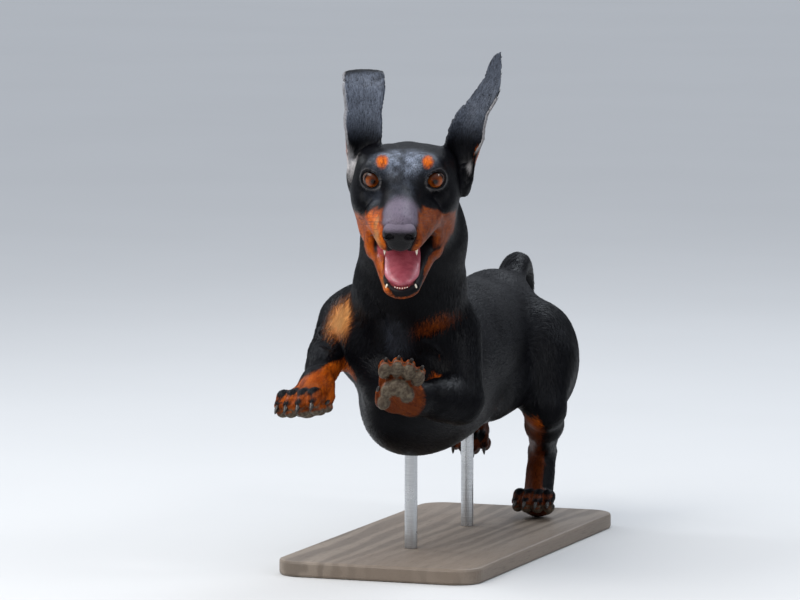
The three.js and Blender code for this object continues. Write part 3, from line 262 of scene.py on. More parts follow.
def sheet_parts(lump, p):
    """For each stretch of the sheet: the points near it, how far they lie past its margin, off its face and
    past its end, and how far to the side of its middle line."""
    for a, b in zip(lump["stations"], lump["stations"][1:]):
        chord = b["at"] - a["at"]
        middle = (a["at"] + b["at"]) / 2
        reach = np.linalg.norm(chord) / 2 + max(a["half"], b["half"]) + 12
        near = np.flatnonzero(((p - middle) ** 2).sum(1) < reach ** 2)
        if len(near) == 0:
            continue
        q = p[near]
        t = np.clip((q - a["at"]) @ chord / (chord @ chord), 0, 1)
        d = q - (a["at"] + t[:, None] * chord)
        way = unit(chord)
        across = a["across"] + t[:, None] * (b["across"] - a["across"])
        across = units(across - (across @ way)[:, None] * way)
        hollow = a["hollow"] + t[:, None] * (b["hollow"] - a["hollow"])
        hollow = hollow - (hollow @ way)[:, None] * way
        hollow = units(hollow - (hollow * across).sum(1)[:, None] * across)
        radius = 1 / (a["bend"] + (b["bend"] - a["bend"]) * t)
        sideways = (d * across).sum(1)
        inward = radius - (d * hollow).sum(1)
        aside = np.abs(np.arctan2(sideways, inward) * radius)
        past = aside - (a["half"] + (b["half"] - a["half"]) * t)
        yield near, past, radius - np.sqrt(sideways ** 2 + inward ** 2), d @ way, sideways


def sheet_distance(lump, p, thicker):
    nearest = np.full(len(p), 50.0)
    for near, past, off, beyond, _ in sheet_parts(lump, p):
        nearest[near] = np.minimum(nearest[near], np.sqrt(np.maximum(past, 0) ** 2 + off ** 2 + beyond ** 2))
    return nearest - lump["thickness"] / 2 - thicker


def past_margin(lump, p):
    """How far past the sheet's margin the points lie, negative inside it, and to which side of its middle
    line. Points away from the sheet get -99."""
    closest = np.full(len(p), 4.0)
    result = np.full(len(p), -99.0)
    side = np.zeros(len(p))
    for near, past, off, beyond, sideways in sheet_parts(lump, p):
        away = np.hypot(off, beyond)
        closer = away < closest[near]
        closest[near[closer]] = away[closer]
        result[near[closer]] = past[closer]
        side[near[closer]] = sideways[closer]
    return result, side


DISTANCE = {"ball": ball_distance, "bone": bone_distance, "sheet": sheet_distance}
BAND = 12


def smooth_min(a, b, blend):
    if blend == 0:
        return np.minimum(a, b)
    h = np.maximum(1 - np.abs(a - b) / blend, 0)
    return np.minimum(a, b) - h * h * blend / 4


def field(lumps, points, thicker=0.0, band=BAND):
    """Distance from the surface of the clay, negative inside it. Sheets can be made thicker."""
    values = np.full(len(points), 1000.0)
    for lump in lumps:
        reach = lump["reach"] + lump["blend"] + band
        near = np.flatnonzero(((points - lump["centre"]) ** 2).sum(1) < reach ** 2)
        if len(near) == 0:
            continue
        own = DISTANCE[lump["kind"]](lump, points[near], thicker)
        if lump.get("carve"):
            values[near] = -smooth_min(-values[near], own, lump["blend"])
        else:
            values[near] = smooth_min(values[near], own, lump["blend"])
    return values


torso_lumps = place(WORLD, [
    ball((2, -52, 163), (60, 130, 75)),  # rib cage
    ball((0, -108, 133), (36, 90, 42), 25),  # keel of the chest
    ball((3, -184, 168), (27, 28, 29), 16),  # point of the breastbone
    ball((0, 55, 172), (52, 110, 62), 30),  # belly
    bone((0, -120, 203), 36, (-4, 120, 200), 36, 20),  # back and loin
    ball((-6, 150, 187), (43, 60, 53), 25),  # rump
    pair(ball((44, -135, 206), (22, 44, 44), 20, 12)),  # shoulder blades
    ball((0, -122, 226), (26, 60, 28), 25),  # withers
    pair(ball((21, -173, 194), (23, 30, 29), 16)),  # breast muscles
    pair(bone((36, 30, 128), 17, (44, 98, 138), 20, 22)),  # flank folds
])
neck_lumps = place(WORLD, [
    bone((0, -140, 214), 50, (22, -176, 256), 50, 24),
    bone((22, -176, 256), 50, (35, -200, 305), 46, 16),
    bone((35, -200, 305), 46, (38, -214, 346), 40, 16),
])
skull_lumps = place(head, [
    ball((0, -48, -10), (43, 52, 26), 14),  # skull
    pair(ball((20, -48, -5), (21, 40, 20), 10)),  # its flat sides
    ball((0, -88, -9), (22, 14, 17), 14),  # back of the skull
    ball((0, -16, -2), (31, 34, 20), 14),  # forehead
    pair(ball((21, -7, 11), (14, 17, 9), 10)),  # brows
    pair(ball((34, -40, -8), (13, 32, 24), 12)),  # temples
    pair(ball((36, -30, -26), (13, 33, 17), 12)),  # cheek bones
    pair(ball((30, -42, -48), (15, 25, 24), 14)),  # jaw muscles
    ball((0, -52, -62), (30, 40, 28), 18),  # throat
    bone((0, 4, -10), 16, (0, 83, -21), 12, 12),  # bridge of the muzzle
    bone((0, -2, -27), 25, (0, 78, -27), 15.5, 10),  # core of the muzzle
    pair(bone((21, 10, -33), 14, (10.5, 80, -34), 10.5, 8)),  # upper lips
])
jaw_lumps = place(jaw, [
    pair(bone((26, -24, -55), 12, (9, 68, -53), 8, 8)),  # halves of the lower jaw
    bone((0, -14, -62), 16, (0, 62, -56), 10, 8),  # floor of the mouth
    ball((0, 71, -53), (13, 13, 8.5), 6),  # chin
])
PALATE = place(head, [carved(ball((0, 44, -50), (17, 52, 13), 3))])
JAW_HOLLOW = place(jaw, [carved(ball((0, 42, -43), (15.5, 46, 8.5), 3))])
mouth_lumps = place(head, [pair(ball((30, -6, -56), (6, 16, 18), 10))]) + PALATE + place(head, [
    carved(bone((0, 88, -38), 0.8, (0, 94, -50), 1.4, 1.5)),  # groove of the upper lip
]) + JAW_HOLLOW


def lid_lumps():
    outward = math.radians(EYE["outward"])
    shell = EYE["radius"] + EYE["lid"]
    lumps = place(head, [pair(ball(EYE["at"], (shell, shell, shell), 4))])
    for side in (-1, 1):
        looks = vec(side * math.sin(outward), math.cos(outward), 0)
        across = vec(math.cos(outward), -side * math.sin(outward), 0)
        x, y, z = EYE["at"]
        middle = head.out(vec(side * x, y, z) + looks * EYE["radius"])
        opening = Frame(middle, (head.way(across), head.way(looks), head.axes[2]))
        lumps += place(opening, [
            carved(ball((0, 0, 0), (EYE["half_width"], 6, EYE["half_height"]), 1)),
            carved(ball((-side * EYE["half_width"] * 0.95, -1, -1.5), (3, 3.5, 1.8), 1)),  # inner corner
        ])
    return lumps


def station(at, across, hollow, half, radius):
    return {"at": at, "across": across, "hollow": hollow, "half": half, "radius": radius}


EAR_THICKNESS = 3
EAR_RIGHT = [
    station((-46, -50, -14), (0.75, -0.6, 0.2), (0.5, 0.75, 0.1), 12, 10),
    station((-45, -62, 6), (0.92, -0.38, 0), (0.38, 0.92, 0), 24, 13),
    station((-42, -66, 26), (0.95, -0.3, 0), (0.3, 0.95, 0), 21.5, 18),
    station((-39, -68, 46), (1, 0, 0), (0, 1, 0), 16.5, 36),
    station((-38.5, -71, 66), (1, 0, 0), (0, 0.9, -0.4), 19, 70),
    station((-39.5, -82, 77), (1, 0, 0), (0, 0.4, -0.9), 18.5, 90),
    station((-39, -97, 76), (1, 0, 0), (0, -0.3, -0.95), 16, 90),
    station((-38, -112, 64), (1, 0, 0), (0, -0.8, -0.6), 8, 90),
]
EAR_LEFT = [
    station((55, -50, -16), (0.75, 0.6, -0.2), (-0.5, 0.75, 0.1), 12, 11),
    station((56, -62, 6), (0.92, 0.38, 0), (-0.38, 0.92, 0), 24, 15),
    station((61, -66, 26), (0.88, 0.45, 0), (-0.45, 0.88, 0.1), 22, 21),
    station((71.5, -68, 48), (0.42, 0.87, -0.25), (-0.86, 0.5, 0.1), 19, 28),
    station((82, -70, 69), (0.46, 0.84, -0.28), (-0.84, 0.5, 0.12), 15.5, 36),
    station((86.5, -72, 84), (0.66, 0.7, -0.27), (-0.72, 0.68, 0.1), 12.5, 50),
    station((89.5, -73, 94), (0.8, 0.55, -0.24), (-0.55, 0.83, 0.1), 9, 60),
    station((90.5, -73, 98), (0.8, 0.55, -0.24), (-0.55, 0.83, 0.1), 4.5, 60),
]


def sheet(stations):
    return {"kind": "sheet", "stations": stations, "thickness": EAR_THICKNESS, "blend": 5}


ear_lumps = place(head, [
    sheet(EAR_RIGHT),
    sheet(EAR_LEFT),
    ball((-46, -50, -14), (8, 13, 15), 6),  # lobe under each root
    ball((54, -50, -16), (7, 12, 15), 6),
    carved(ball((-49, -39, 2), (7, 10, 19), 3)),  # the open cup in front of each root
    carved(ball((55, -39, 2), (7, 10, 19), 3)),
])


def fore_leg_lumps(leg):
    elbow, wrist = leg["elbow"], leg["wrist"]
    return place(WORLD, [
        bone(leg["shoulder"], leg["shoulder_radius"], elbow, leg["elbow_radius"], 16),
        bone(elbow, leg["elbow_radius"] - 2, mix(elbow, wrist, 0.45), leg["arm_radius"], 10),
        bone(mix(elbow, wrist, 0.3), leg["arm_radius"], wrist, leg["wrist_radius"], 8),
    ])


def hind_leg_lumps(leg):
    calf = mix(leg["knee"], leg["hock"], 0.35)
    return place(WORLD, [
        ball(leg["thigh"], leg["thigh_radii"], 22),
        bone(mix(leg["hip"], leg["knee"], 0.4), 34, leg["knee"], leg["knee_radius"], 16),
        bone(leg["knee"], leg["knee_radius"] - 1, calf, 18, 10),
        bone(calf, 18, leg["hock"], leg["hock_radius"], 10),
        ball(vec(*leg["hock"]) + vec(0, 4, 3), (8.5, 11, 11), 6),
        bone(leg["hock"], leg["hock_radius"], leg["paw"], 12.5, 6),
    ])


def is_fore(leg):
    return "elbow" in leg


def toe_reach(across):
    """How far forward a toe of a paw of size 1 reaches: the outer ones less."""
    return 20 if abs(across) > 10 else 25


def paw_lumps(leg):
    s = leg["size"]
    lumps = [ball((0, 8 * s, 5 * s), (17 * s, 13 * s, 7 * s), 4)]
    for across in TOE_ACROSS:
        reach = toe_reach(across) * s
        x = across * s
        lumps += [
            bone((x * 0.8, 0, 6 * s), 6.8 * s, (x, 13 * s, 9 * s), 6.9 * s, 3),
            bone((x, 13 * s, 9 * s), 6.9 * s, (x * 1.1, reach, 3 * s), 5.6 * s, 2),
            ball((x * 1.08, reach - 4 * s, -3 * s), (6.3 * s, 8.8 * s, 6 * s), 1.5),  # toe pad
        ]
    lumps.append(ball((0, 3 * s, -6.5 * s), (10.5 * s, 8 * s, 7 * s), 3))  # middle pad, in three parts
    lumps += pair(ball((10 * s, -2.5 * s, -6.5 * s), (6.5 * s, 7.5 * s, 6.5 * s), 3))
    if is_fore(leg):
        inner = math.copysign(1, leg["paw"][0])
        lumps += [
            ball((inner * 10, -16 * s, -8.5 * s), (5.5, 7, 5), 4),  # heel pad
            bone((inner * 12, -20 * s, 0), 5, (inner * 15, -10 * s, -1), 4, 4),  # dew claw
            ball((0, -12 * s, 6 * s), (16 * s, 20 * s, 12 * s), 8),
        ]
        end = vec(*leg["paw"]) + 4 * s * vec(*leg["back"])
        root = bone(leg["wrist"], leg["wrist_radius"], end, 11 * s, 8)
    else:
        root = bone(leg["hock"], leg["hock_radius"], leg["paw"], 13 * s, 8)
    return place(paw_frame(leg), lumps) + place(WORLD, [root])


def tail_lumps():
    points = [vec(*p) for p in TAIL_SPINE]
    radius = [TAIL_TIP_RADIUS + (TAIL_ROOT_RADIUS - TAIL_TIP_RADIUS) * (1 - i / TAIL_STEPS) ** 1.4
              for i in range(TAIL_STEPS + 1)]
    spine = [curve_point(points, i / TAIL_STEPS) for i in range(TAIL_STEPS + 1)]
    return place(WORLD, [bone(spine[i], radius[i], spine[i + 1], radius[i + 1], 2 if i else 16)
                         for i in range(TAIL_STEPS)])


dog = torso_lumps + neck_lumps + skull_lumps + jaw_lumps + mouth_lumps + lid_lumps() + ear_lumps
for leg in LEGS.values():
    dog += fore_leg_lumps(leg) if is_fore(leg) else hind_leg_lumps(leg)
for leg in LEGS.values():
    dog += paw_lumps(leg)
dog += tail_lumps()


# How deep the skin lies under the outer face of the coat: less on the face, the paws and the ears
EYES = [head.out((side * EYE["at"][0], EYE["at"][1], EYE["at"][2])) for side in (-1, 1)]
PAWS = [vec(*leg["paw"]) for leg in LEGS.values()]
MUZZLE_TIP = head.out((0, 80, -38))
BODY_DEPTH, FACE_DEPTH = 1.3, 0.35
SLOPE_STEP = 0.2


def distance_to(points, at):
    return np.linalg.norm(points - at, axis=1)


def faceness(points):
    """1 on the head, the ears and the paws, 0 on the body."""
    _, forward, up = head.into(points).T
    on_head = both(smooth(-98, -70, forward - 0.35 * up), smooth(-112, -92, up))
    on_paws = [smooth(52, 34, distance_to(points, paw)) for paw in PAWS]
    return either(on_head, smooth(8, 22, up), *on_paws)


def settled(points, level):
    """Moves points straight onto the surface where level is zero. Gives the surface's normals too."""
    steps = np.concatenate([np.zeros((1, 3)), np.eye(3) * SLOPE_STEP])
    values = level((points[None] + steps[:, None]).reshape(-1, 3)).reshape(4, -1)
    value, slope = values[0], ((values[1:] - values[0]) / SLOPE_STEP).T
    step = np.clip(value, -2, 2) / np.maximum((slope ** 2).sum(1), 0.3)
    return points - step[:, None] * slope, units(slope)


def fold(points, radius, height, blend):
    """A round ridge along a line on the skin, or a groove where the height is less than 0."""
    at, normals = settled(np.array(points, float), lambda q: field(dog, q))
    middle = at + normals * (height + (radius if height < 0 else -radius))
    made = [bone(a, radius, b, radius, blend) for a, b in zip(middle, middle[1:])]
    return place(WORLD, [carved(m) for m in made] if height < 0 else made)


folds = (
    fold([(-66, -195, 206), (-69, -182, 213), (-61, -187, 215), (-50, -195, 211), (-41, -204, 201),
          (-34, -208, 191)], 3.0, 1.3, 3)  # at the right elbow, with a hollow under it
    + fold([(-62, -197, 207), (-55, -202, 205), (-47, -207, 198)], 4.0, -1.6, 3)
    + fold([(-2, -224, 250), (5, -224, 239), (10, -221, 230), (11, -214, 218), (8, -206, 206)],
           4.0, -1.8, 5)  # groove of the breast
    + fold([(37, -199, 197), (44, -198, 206), (51, -194, 202), (58, -194, 196)],
           2.6, 1.3, 2.5)  # at the left elbow, with a hollow under it
    + fold([(40, -197, 193), (48, -195, 195), (54, -194, 193)], 3.0, -1.5, 2.5)
)


def skin_level(points, thicker=0.0):
    depth = BODY_DEPTH + (FACE_DEPTH - BODY_DEPTH) * faceness(points)
    return field(dog + folds, points, thicker) + depth


# Drawing the skin: a grid of cells finds it, and every cell that it passes through gets one point.
CELL = 3.7
COARSE = 4  # cells a side that are passed over together where the surface is far off
LOW = vec(-110, -385, -6)
COUNTS = (64, 200, 136)  # cells, whole blocks of COARSE
EAR_SWELL = 1.4  # the ears are found a little thicker, then drawn in


def grid_values():
    blocks = [n // COARSE for n in COUNTS]
    size = CELL * COARSE
    middles = np.stack(np.meshgrid(*[(np.arange(n) + 0.5) * size for n in blocks], indexing="ij"), -1) + LOW
    rough = field(dog, middles.reshape(-1, 3), EAR_SWELL, 40).reshape(blocks)
    values = np.repeat(np.repeat(np.repeat(rough, COARSE, 0), COARSE, 1), COARSE, 2)
    values = np.pad(values, ((0, 1), (0, 1), (0, 1)), mode="edge")
    close = np.zeros(values.shape, bool)
    for i, j, k in np.argwhere(np.abs(rough) < size * 1.1):
        i, j, k = i * COARSE, j * COARSE, k * COARSE
        close[i:i + COARSE + 1, j:j + COARSE + 1, k:k + COARSE + 1] = True
    where = np.argwhere(close)
    values[close] = skin_level(where * CELL + LOW, EAR_SWELL)
    return values


CORNERS = np.array([(i, j, k) for i in (0, 1) for j in (0, 1) for k in (0, 1)])


def surface(values, low, cell):
    """Points and triangles where grid values pass zero: one point in each cell that the surface passes
    through, the mean of its crossings, joined across the edges of the grid."""
    inside = values < 0
    cells = tuple(n - 1 for n in values.shape)
    many = sum(inside[i:i + cells[0], j:j + cells[1], k:k + cells[2]].astype(np.int8) for i, j, k in CORNERS)
    active = np.argwhere((many > 0) & (many < 8))
    corner = np.stack([values[tuple((active + c).T)] for c in CORNERS], 1)
    total = np.zeros((len(active), 3))
    crossings = np.zeros(len(active))
    for a in range(8):
        for b in range(a + 1, 8):
            if np.abs(CORNERS[a] - CORNERS[b]).sum() != 1:
                continue
            va, vb = corner[:, a], corner[:, b]
            cut = (va < 0) != (vb < 0)
            t = np.where(cut, va / np.where(cut, va - vb, 1), 0)
            total += np.where(cut[:, None], CORNERS[a] + t[:, None] * (CORNERS[b] - CORNERS[a]), 0)
            crossings += cut
    points = (active + total / crossings[:, None]) * cell + low
    index = np.full(cells, -1, np.int32)
    index[tuple(active.T)] = np.arange(len(active))

    triangles = []
    for axis in range(3):
        step = np.eye(3, dtype=int)[axis]
        u, v = np.eye(3, dtype=int)[(axis + 1) % 3], np.eye(3, dtype=int)[(axis + 2) % 3]
        here = tuple(slice(0, n - 1) if i == axis else slice(1, n - 1) for i, n in enumerate(values.shape))
        next_one = tuple(slice(1, n) if i == axis else slice(1, n - 1) for i, n in enumerate(values.shape))
        edges = np.argwhere(inside[here] != inside[next_one]) + (1 - step)
        starts_inside = inside[tuple(edges.T)]
        ring = [index[tuple((edges - du * u - dv * v).T)] for du, dv in ((1, 1), (0, 1), (0, 0), (1, 0))]
        ring = np.stack(ring, 1)
        ring[~starts_inside] = ring[~starts_inside][:, ::-1]
        corners = points[ring]
        long_way = distance_to(corners[:, 0], corners[:, 2]) > distance_to(corners[:, 1], corners[:, 3])
        ring[long_way] = np.roll(ring[long_way], 1, axis=1)
        triangles += [ring[:, [0, 1, 2]], ring[:, [0, 2, 3]]]
    return points, np.concatenate(triangles)


def edges_of(triangles, count):
    """The edges, each once, and for each side of each triangle the number of its edge."""
    sides = np.sort(triangles[:, [0, 1, 1, 2, 2, 0]].reshape(-1, 2), axis=1)
    keys, number = np.unique(sides[:, 0].astype(np.int64) * count + sides[:, 1], return_inverse=True)
    return np.stack([keys // count, keys % count], 1), number.reshape(-1, 3)


BODY_EDGE, FINE_EDGE, NOSE_EDGE, EYE_EDGE = 5.0, 1.9, 1.1, 0.95
SPLIT_OVER = 1.4  # an edge that is longer than this many times the wanted length is split


def wanted_length(points):
    """The length of an edge that the skin's detail asks for."""
    _, forward, up = head.into(points).T
    length = np.full(len(points), BODY_EDGE)
    length[(forward > -80) & (up > -90) | (up > 10) & (forward > -150)] = FINE_EDGE
    for paw in PAWS:
        length[distance_to(points, paw) < 38] = FINE_EDGE
    for eye in EYES:
        length[distance_to(points, eye) < 17] = EYE_EDGE
    length[distance_to(points, MUZZLE_TIP) < 24] = NOSE_EDGE
    return length


def refined(points, triangles):
    """Splits the edges that are longer than the detail asks for."""
    edges, sides = edges_of(triangles, len(points))
    middle = points[edges].mean(1)
    length = distance_to(points[edges[:, 0]], points[edges[:, 1]])
    too_long = length > SPLIT_OVER * wanted_length(middle)
    new_index = np.cumsum(too_long) - 1 + len(points)
    points = np.concatenate([points, middle[too_long]])
    split = too_long[sides]
    count = split.sum(1)
    # Each triangle is turned so that its split sides come first.
    turn = np.zeros(len(triangles), int)
    turn[count == 1] = split[count == 1].argmax(1)
    turn[count == 2] = (split[count == 2].argmin(1) + 1) % 3
    order = (np.arange(3) + turn[:, None]) % 3
    t = np.take_along_axis(triangles, order, 1)
    m = new_index[np.take_along_axis(sides, order, 1)]
    a, b, c = t.T
    ab, bc, ca = m.T

    def some(which, *corners):
        return np.stack([x[which] for x in corners], 1)

    one, two, three = count == 1, count == 2, count == 3
    made = [
        t[count == 0], some(one, a, ab, c), some(one, ab, b, c),
        some(two, ab, b, bc), some(two, a, ab, bc), some(two, a, bc, c),
        some(three, a, ab, ca), some(three, ab, b, bc), some(three, ca, bc, c), some(three, ab, bc, ca),
    ]
    return points, np.concatenate(made)


def middles(points, triangles):
    """The middle of the neighbours of each point."""
    edges, _ = edges_of(triangles, len(points))
    ways = np.concatenate([edges, edges[:, ::-1]])
    many = np.bincount(ways[:, 0], minlength=len(points))
    total = np.stack([np.bincount(ways[:, 0], points[ways[:, 1], i], len(points)) for i in range(3)], 1)
    return total / np.maximum(many, 1)[:, None]


def evened(points, triangles, normals, share):
    """Moves points along the skin toward the middle of their neighbours."""
    move = middles(points, triangles) - points
    move -= (move * normals).sum(1)[:, None] * normals
    return points + share * move


def triangle_crosses(points, triangles):
    """For each triangle its normal, twice as long as its area."""
    corners = points[triangles]
    return np.cross(corners[:, 1] - corners[:, 0], corners[:, 2] - corners[:, 0])


def mesh_normals(points, triangles):
    across = triangle_crosses(points, triangles)
    total = [np.bincount(triangles.ravel(), np.repeat(across[:, i], 3), len(points)) for i in range(3)]
    return units(np.stack(total, 1))


KNOT_AGREEMENT = 0.2  # below it the mesh and the surface face so differently that the mesh is folded
KNOT_RINGS, KNOT_ROUNDS = 2, 25


def untied(points, triangles, normals):
    """Draws the few small knots, where the skin is folded over itself, flat between their neighbours."""
    knots = (mesh_normals(points, triangles) * normals).sum(1) < KNOT_AGREEMENT
    for _ in range(KNOT_RINGS):
        knots[triangles[knots[triangles].any(1)]] = True
    for ear in ear_lumps[:2]:
        knots &= past_margin(ear, points)[0] < -2  # the margins of the ears are sharp, but not folded
    for _ in range(KNOT_ROUNDS):
        points = np.where(knots[:, None], middles(points, triangles), points)
    return points, np.where(knots[:, None], mesh_normals(points, triangles), normals)


def make_skin():
    points, triangles = surface(grid_values(), LOW, CELL)
    for finer in range(3):
        points, normals = settled(points, skin_level)
        points = evened(points, triangles, normals, 0.5)
        if finer < 2:
            points, triangles = refined(points, triangles)
    for _ in range(2):
        points, normals = settled(points, skin_level)
        points = evened(points, triangles, normals, 0.4)
    for _ in range(2):
        points, normals = settled(points, skin_level)
    points, normals = untied(points, triangles, normals)
    return points, triangles, normals


# The lie of the coat follows a skeleton. Each bone turns back onto its parent's line, so that the dog is
# unbent to a straight one whose coat runs along +Y. The unbent place of a point is where hair-like patterns
# are drawn.
def skeleton():
    """Chains: name, parent, joints away from the body, thickness, and whether the coat runs that way too."""
    head_joints = [head.out(at) for at in ((0, -70, -20), (0, 0, -10), (0, 90, -22))]
    chains = [
        ("trunk", None, [(0, -150, 190), (-5, 150, 195)], [55], True),
        ("neck", "trunk", [(0, -150, 215), (20, -182, 262), (36, -208, 330)], [46, 42], False),
        ("head", "neck", head_joints, [34, 22], False),
        ("jaw", "neck", [jaw.out(at) for at in ((0, -40, -55), (0, 75, -55))], [18], False),
        ("ear right", "head", [head.out(s["at"]) for s in EAR_RIGHT[1:]], [14] * 6, True),
        ("ear left", "head", [head.out(s["at"]) for s in EAR_LEFT[1:]], [14] * 6, True),
    ]
    for name, leg in LEGS.items():
        joints = ("shoulder", "elbow", "wrist", "paw") if is_fore(leg) else ("hip", "knee", "hock", "paw")
        points = [vec(*leg[j]) for j in joints]
        points.append(points[-1] + unit(leg["toes"]) * 30)
        chains.append((name, "trunk", points, [34, 17, 13, 13], True))
    chains.append(("tail", "trunk", TAIL_SPINE, [13, 12, 11, 9, 8, 7, 5, 4], True))
    return chains


def turn_between(a, b):
    """The smallest turn, as a matrix, that takes direction a to direction b."""
    axis = np.cross(a, b)
    s, c = np.linalg.norm(axis), float(np.dot(a, b))
    if s < 1e-6:
        return np.eye(3)
    x, y, z = axis / s
    k = np.array([(0, -z, y), (z, 0, -x), (-y, x, 0)])
    return np.eye(3) + s * k + (1 - c) * k @ k


def make_bones():
    bones = []
    for name, parent, joints, thick, outward in skeleton():
        joints = [np.asarray(j, float) for j in joints]

        def to_both_ends(other):
            return np.linalg.norm(joints[0] - other["from"]) + np.linalg.norm(joints[0] - other["to"])

        if parent is None:
            before = {"turn": np.eye(3), "from": joints[0], "unbent": joints[0], "way": vec(0, 1, 0)}
        else:
            before = min((b for b in bones if b["chain"] == parent), key=to_both_ends)
        for start, end, radius in zip(joints, joints[1:], thick):
            way = unit(end - start) if outward else unit(start - end)
            turn = before["turn"] @ turn_between(way, before["way"])
            unbent = before["turn"] @ (start - before["from"]) + before["unbent"]
            before = {"chain": name, "from": start, "to": end, "radius": radius, "way": way, "turn": turn,
                      "unbent": unbent}
            bones.append(before)
    return bones


BONES = make_bones()
BLUR = 7.0  # how far one bone's coat runs into the next one's


def along_bone(points, start, end):
    """How far along a line each point lies, from 0 at its start to 1 at its end, and how far off it."""
    start, end = np.asarray(start, float), np.asarray(end, float)
    t = (points - start) @ (end - start) / ((end - start) @ (end - start))
    off = np.linalg.norm(points - start - np.clip(t, 0, 1)[:, None] * (end - start), axis=1)
    return t, off


def bone_gaps(points):
    """How far outside each bone's own thickness the points lie."""
    return np.array([along_bone(points, b["from"], b["to"])[1] - b["radius"] for b in BONES])


def coat_lie(points):
    """The way the coat lies and the unbent place, for each point."""
    nearness = -bone_gaps(points) / BLUR
    weight = np.exp(nearness - nearness.max(0))
    weight /= weight.sum(0)
    lie = np.zeros((len(points), 3))
    unbent = np.zeros((len(points), 3))
    for w, b in zip(weight, BONES):
        lie += w[:, None] * b["way"]
        unbent += w[:, None] * ((points - b["from"]) @ b["turn"].T + b["unbent"])
    return units(lie), unbent


def wave(points, scale, seed):
    """A slow wandering number from -1 to 1, without grain."""
    ways = np.random.default_rng(seed).normal(size=(5, 3))
    shift = np.random.default_rng(seed + 1).uniform(0, 6.28, 5)
    return np.sin(points @ ways.T / scale + shift).mean(1) * 1.6


# Markings and bare places. Each is a number from 0 to 1 at every point; the paint roughens their borders.
def spot(points, where, at, radii, soft=0.35):
    """1 inside an egg with soft edges, 0 outside it."""
    off = np.linalg.norm((where.into(points) - np.asarray(at, float)) / np.asarray(radii, float), axis=1)
    return smooth(1 + soft, 1 - soft, off)


def belongs(gaps, chain):
    """1 where the skin lies nearest to the bones of this chain, 0 elsewhere."""
    own = np.array([b["chain"] == chain for b in BONES])
    return smooth(4, -4, gaps[own].min(0) - gaps[~own].min(0))


def face_borders(points):
    """How high the tan of the cheeks reaches, and the half width of the grey bridge between them."""
    x, forward, up = head.into(points).T
    top = 0.303 * forward - 29.5 + 3.2 * wave(points, 5, 31) - 0.12 * np.maximum(np.abs(x) - 24, 0)
    stripe = 16.2 - 5 * smooth(-26, -38, up) + 1.4 * wave(points, 5, 33)
    return top, stripe


BROW_SPOTS = (((-18.9, 4, 17.4), (4.6, 12, 5.2)), ((22.4, 4, 17.2), (4.4, 12, 5.0)))
EAR_SPOTS = (((-57, -53, 11), (4.5, 9, 12)), ((67, -52, 4), (4.5, 9, 11)), ((-44, -38, -38), (6, 8, 9)))


def face_tan(points):
    x, forward, up = head.into(points).T
    _, jaw_forward, jaw_up = jaw.into(points).T
    top, stripe = face_borders(points)
    muzzle = both(smooth(4.5, -4.0, up - top), smooth(-3.5, 3.0, np.abs(x) - stripe),
                  smooth(-46, -32, forward), smooth(-68, -54, up))
    rim = -48 - 6.5 * smooth(46, 66, jaw_forward) + 5 * smooth(-4, -12, x)
    lower = both(smooth(1.5, -1.5, jaw_up - rim), smooth(-30, -12, jaw_forward), smooth(-80, -70, jaw_up),
                 smooth(-38, -46, up))
    brows = [1.1 * spot(points, head, at, radii, 0.95) for at, radii in BROW_SPOTS]
    ears = [spot(points, head, at, radii, 0.6) for at, radii in EAR_SPOTS]
    return either(muzzle, lower, *brows, *ears)


def dark_toes(points, leg):
    """Black patches over the knuckles and round the roots of the claws."""
    where, s = paw_frame(leg), leg["size"]
    patches = []
    for i, across in enumerate(TOE_ACROSS):
        x = across * s
        knuckle = (x, (14 + i % 2) * s, 15 * s)
        claw_root = (1.12 * x, toe_reach(across) * s + 1, 5 * s)
        patches.append(spot(points, where, knuckle, (5.4 * s, 7.5 * s, 8 * s), 0.4))
        patches.append(spot(points, where, claw_root, (4.2 * s, 4.5 * s, 4.5 * s), 0.4))
    return either(*patches)


def fore_tan(points, normals, gaps):
    right_t, _ = along_bone(points, FORE_RIGHT["elbow"], FORE_RIGHT["wrist"])
    left_t, _ = along_bone(points, FORE_LEFT["elbow"], FORE_LEFT["wrist"])
    line = 181 + 9 * normals[:, 0] + 2.5 * wave(points, 6, 41)
    right = both(belongs(gaps, "fore right"), smooth(3, -3, points[:, 2] - line),
                 smooth(-0.15, 0.15, right_t), 1 - dark_toes(points, FORE_RIGHT))
    inside = smooth(0.35, 0.7, 0.2 * normals[:, 2] - normals[:, 0])
    left = both(belongs(gaps, "fore left"), smooth(0.1, 0.3, left_t),
                either(inside, smooth(0.95, 1.1, left_t)), 1 - dark_toes(points, FORE_LEFT))
    return either(right, left)


def hind_tan(points, normals, gaps, chain):
    leg = LEGS[chain]
    thigh_t, _ = along_bone(points, leg["hip"], leg["knee"])
    shank_t, _ = along_bone(points, leg["knee"], leg["hock"])
    foot_t, _ = along_bone(points, leg["hock"], leg["paw"])
    inner, front = -math.copysign(1, leg["hip"][0]) * normals[:, 0], -normals[:, 1]
    height = points[:, 2] - leg["hock"][2] + 3 * wave(points, 6, 43)
    upper_faces = inner + 0.4 * front + 0.25 * smooth(40, 20, height)
    upper = both(smooth(0.5, 0.8, thigh_t), smooth(0.25, 0.6, upper_faces), smooth(1.0, 0.88, shank_t),
                 smooth(56, 42, height))
    foot_faces = inner + 0.8 * front + 0.5 * smooth(0.75, 1, foot_t)
    foot = both(smooth(0.06, 0.2, foot_t), smooth(9, -4, height), smooth(-0.15, 0.2, foot_faces))
    return both(belongs(gaps, chain), either(upper, foot), 1 - dark_toes(points, leg))


def palm(points, normals, leg, near, faces):
    """1 under a paw, by the distance from its middle and by how far the skin faces the ground side."""
    down = -normals @ paw_frame(leg).axes[2]
    return both(smooth(*near, distance_to(points, vec(*leg["paw"]))), smooth(*faces, down))


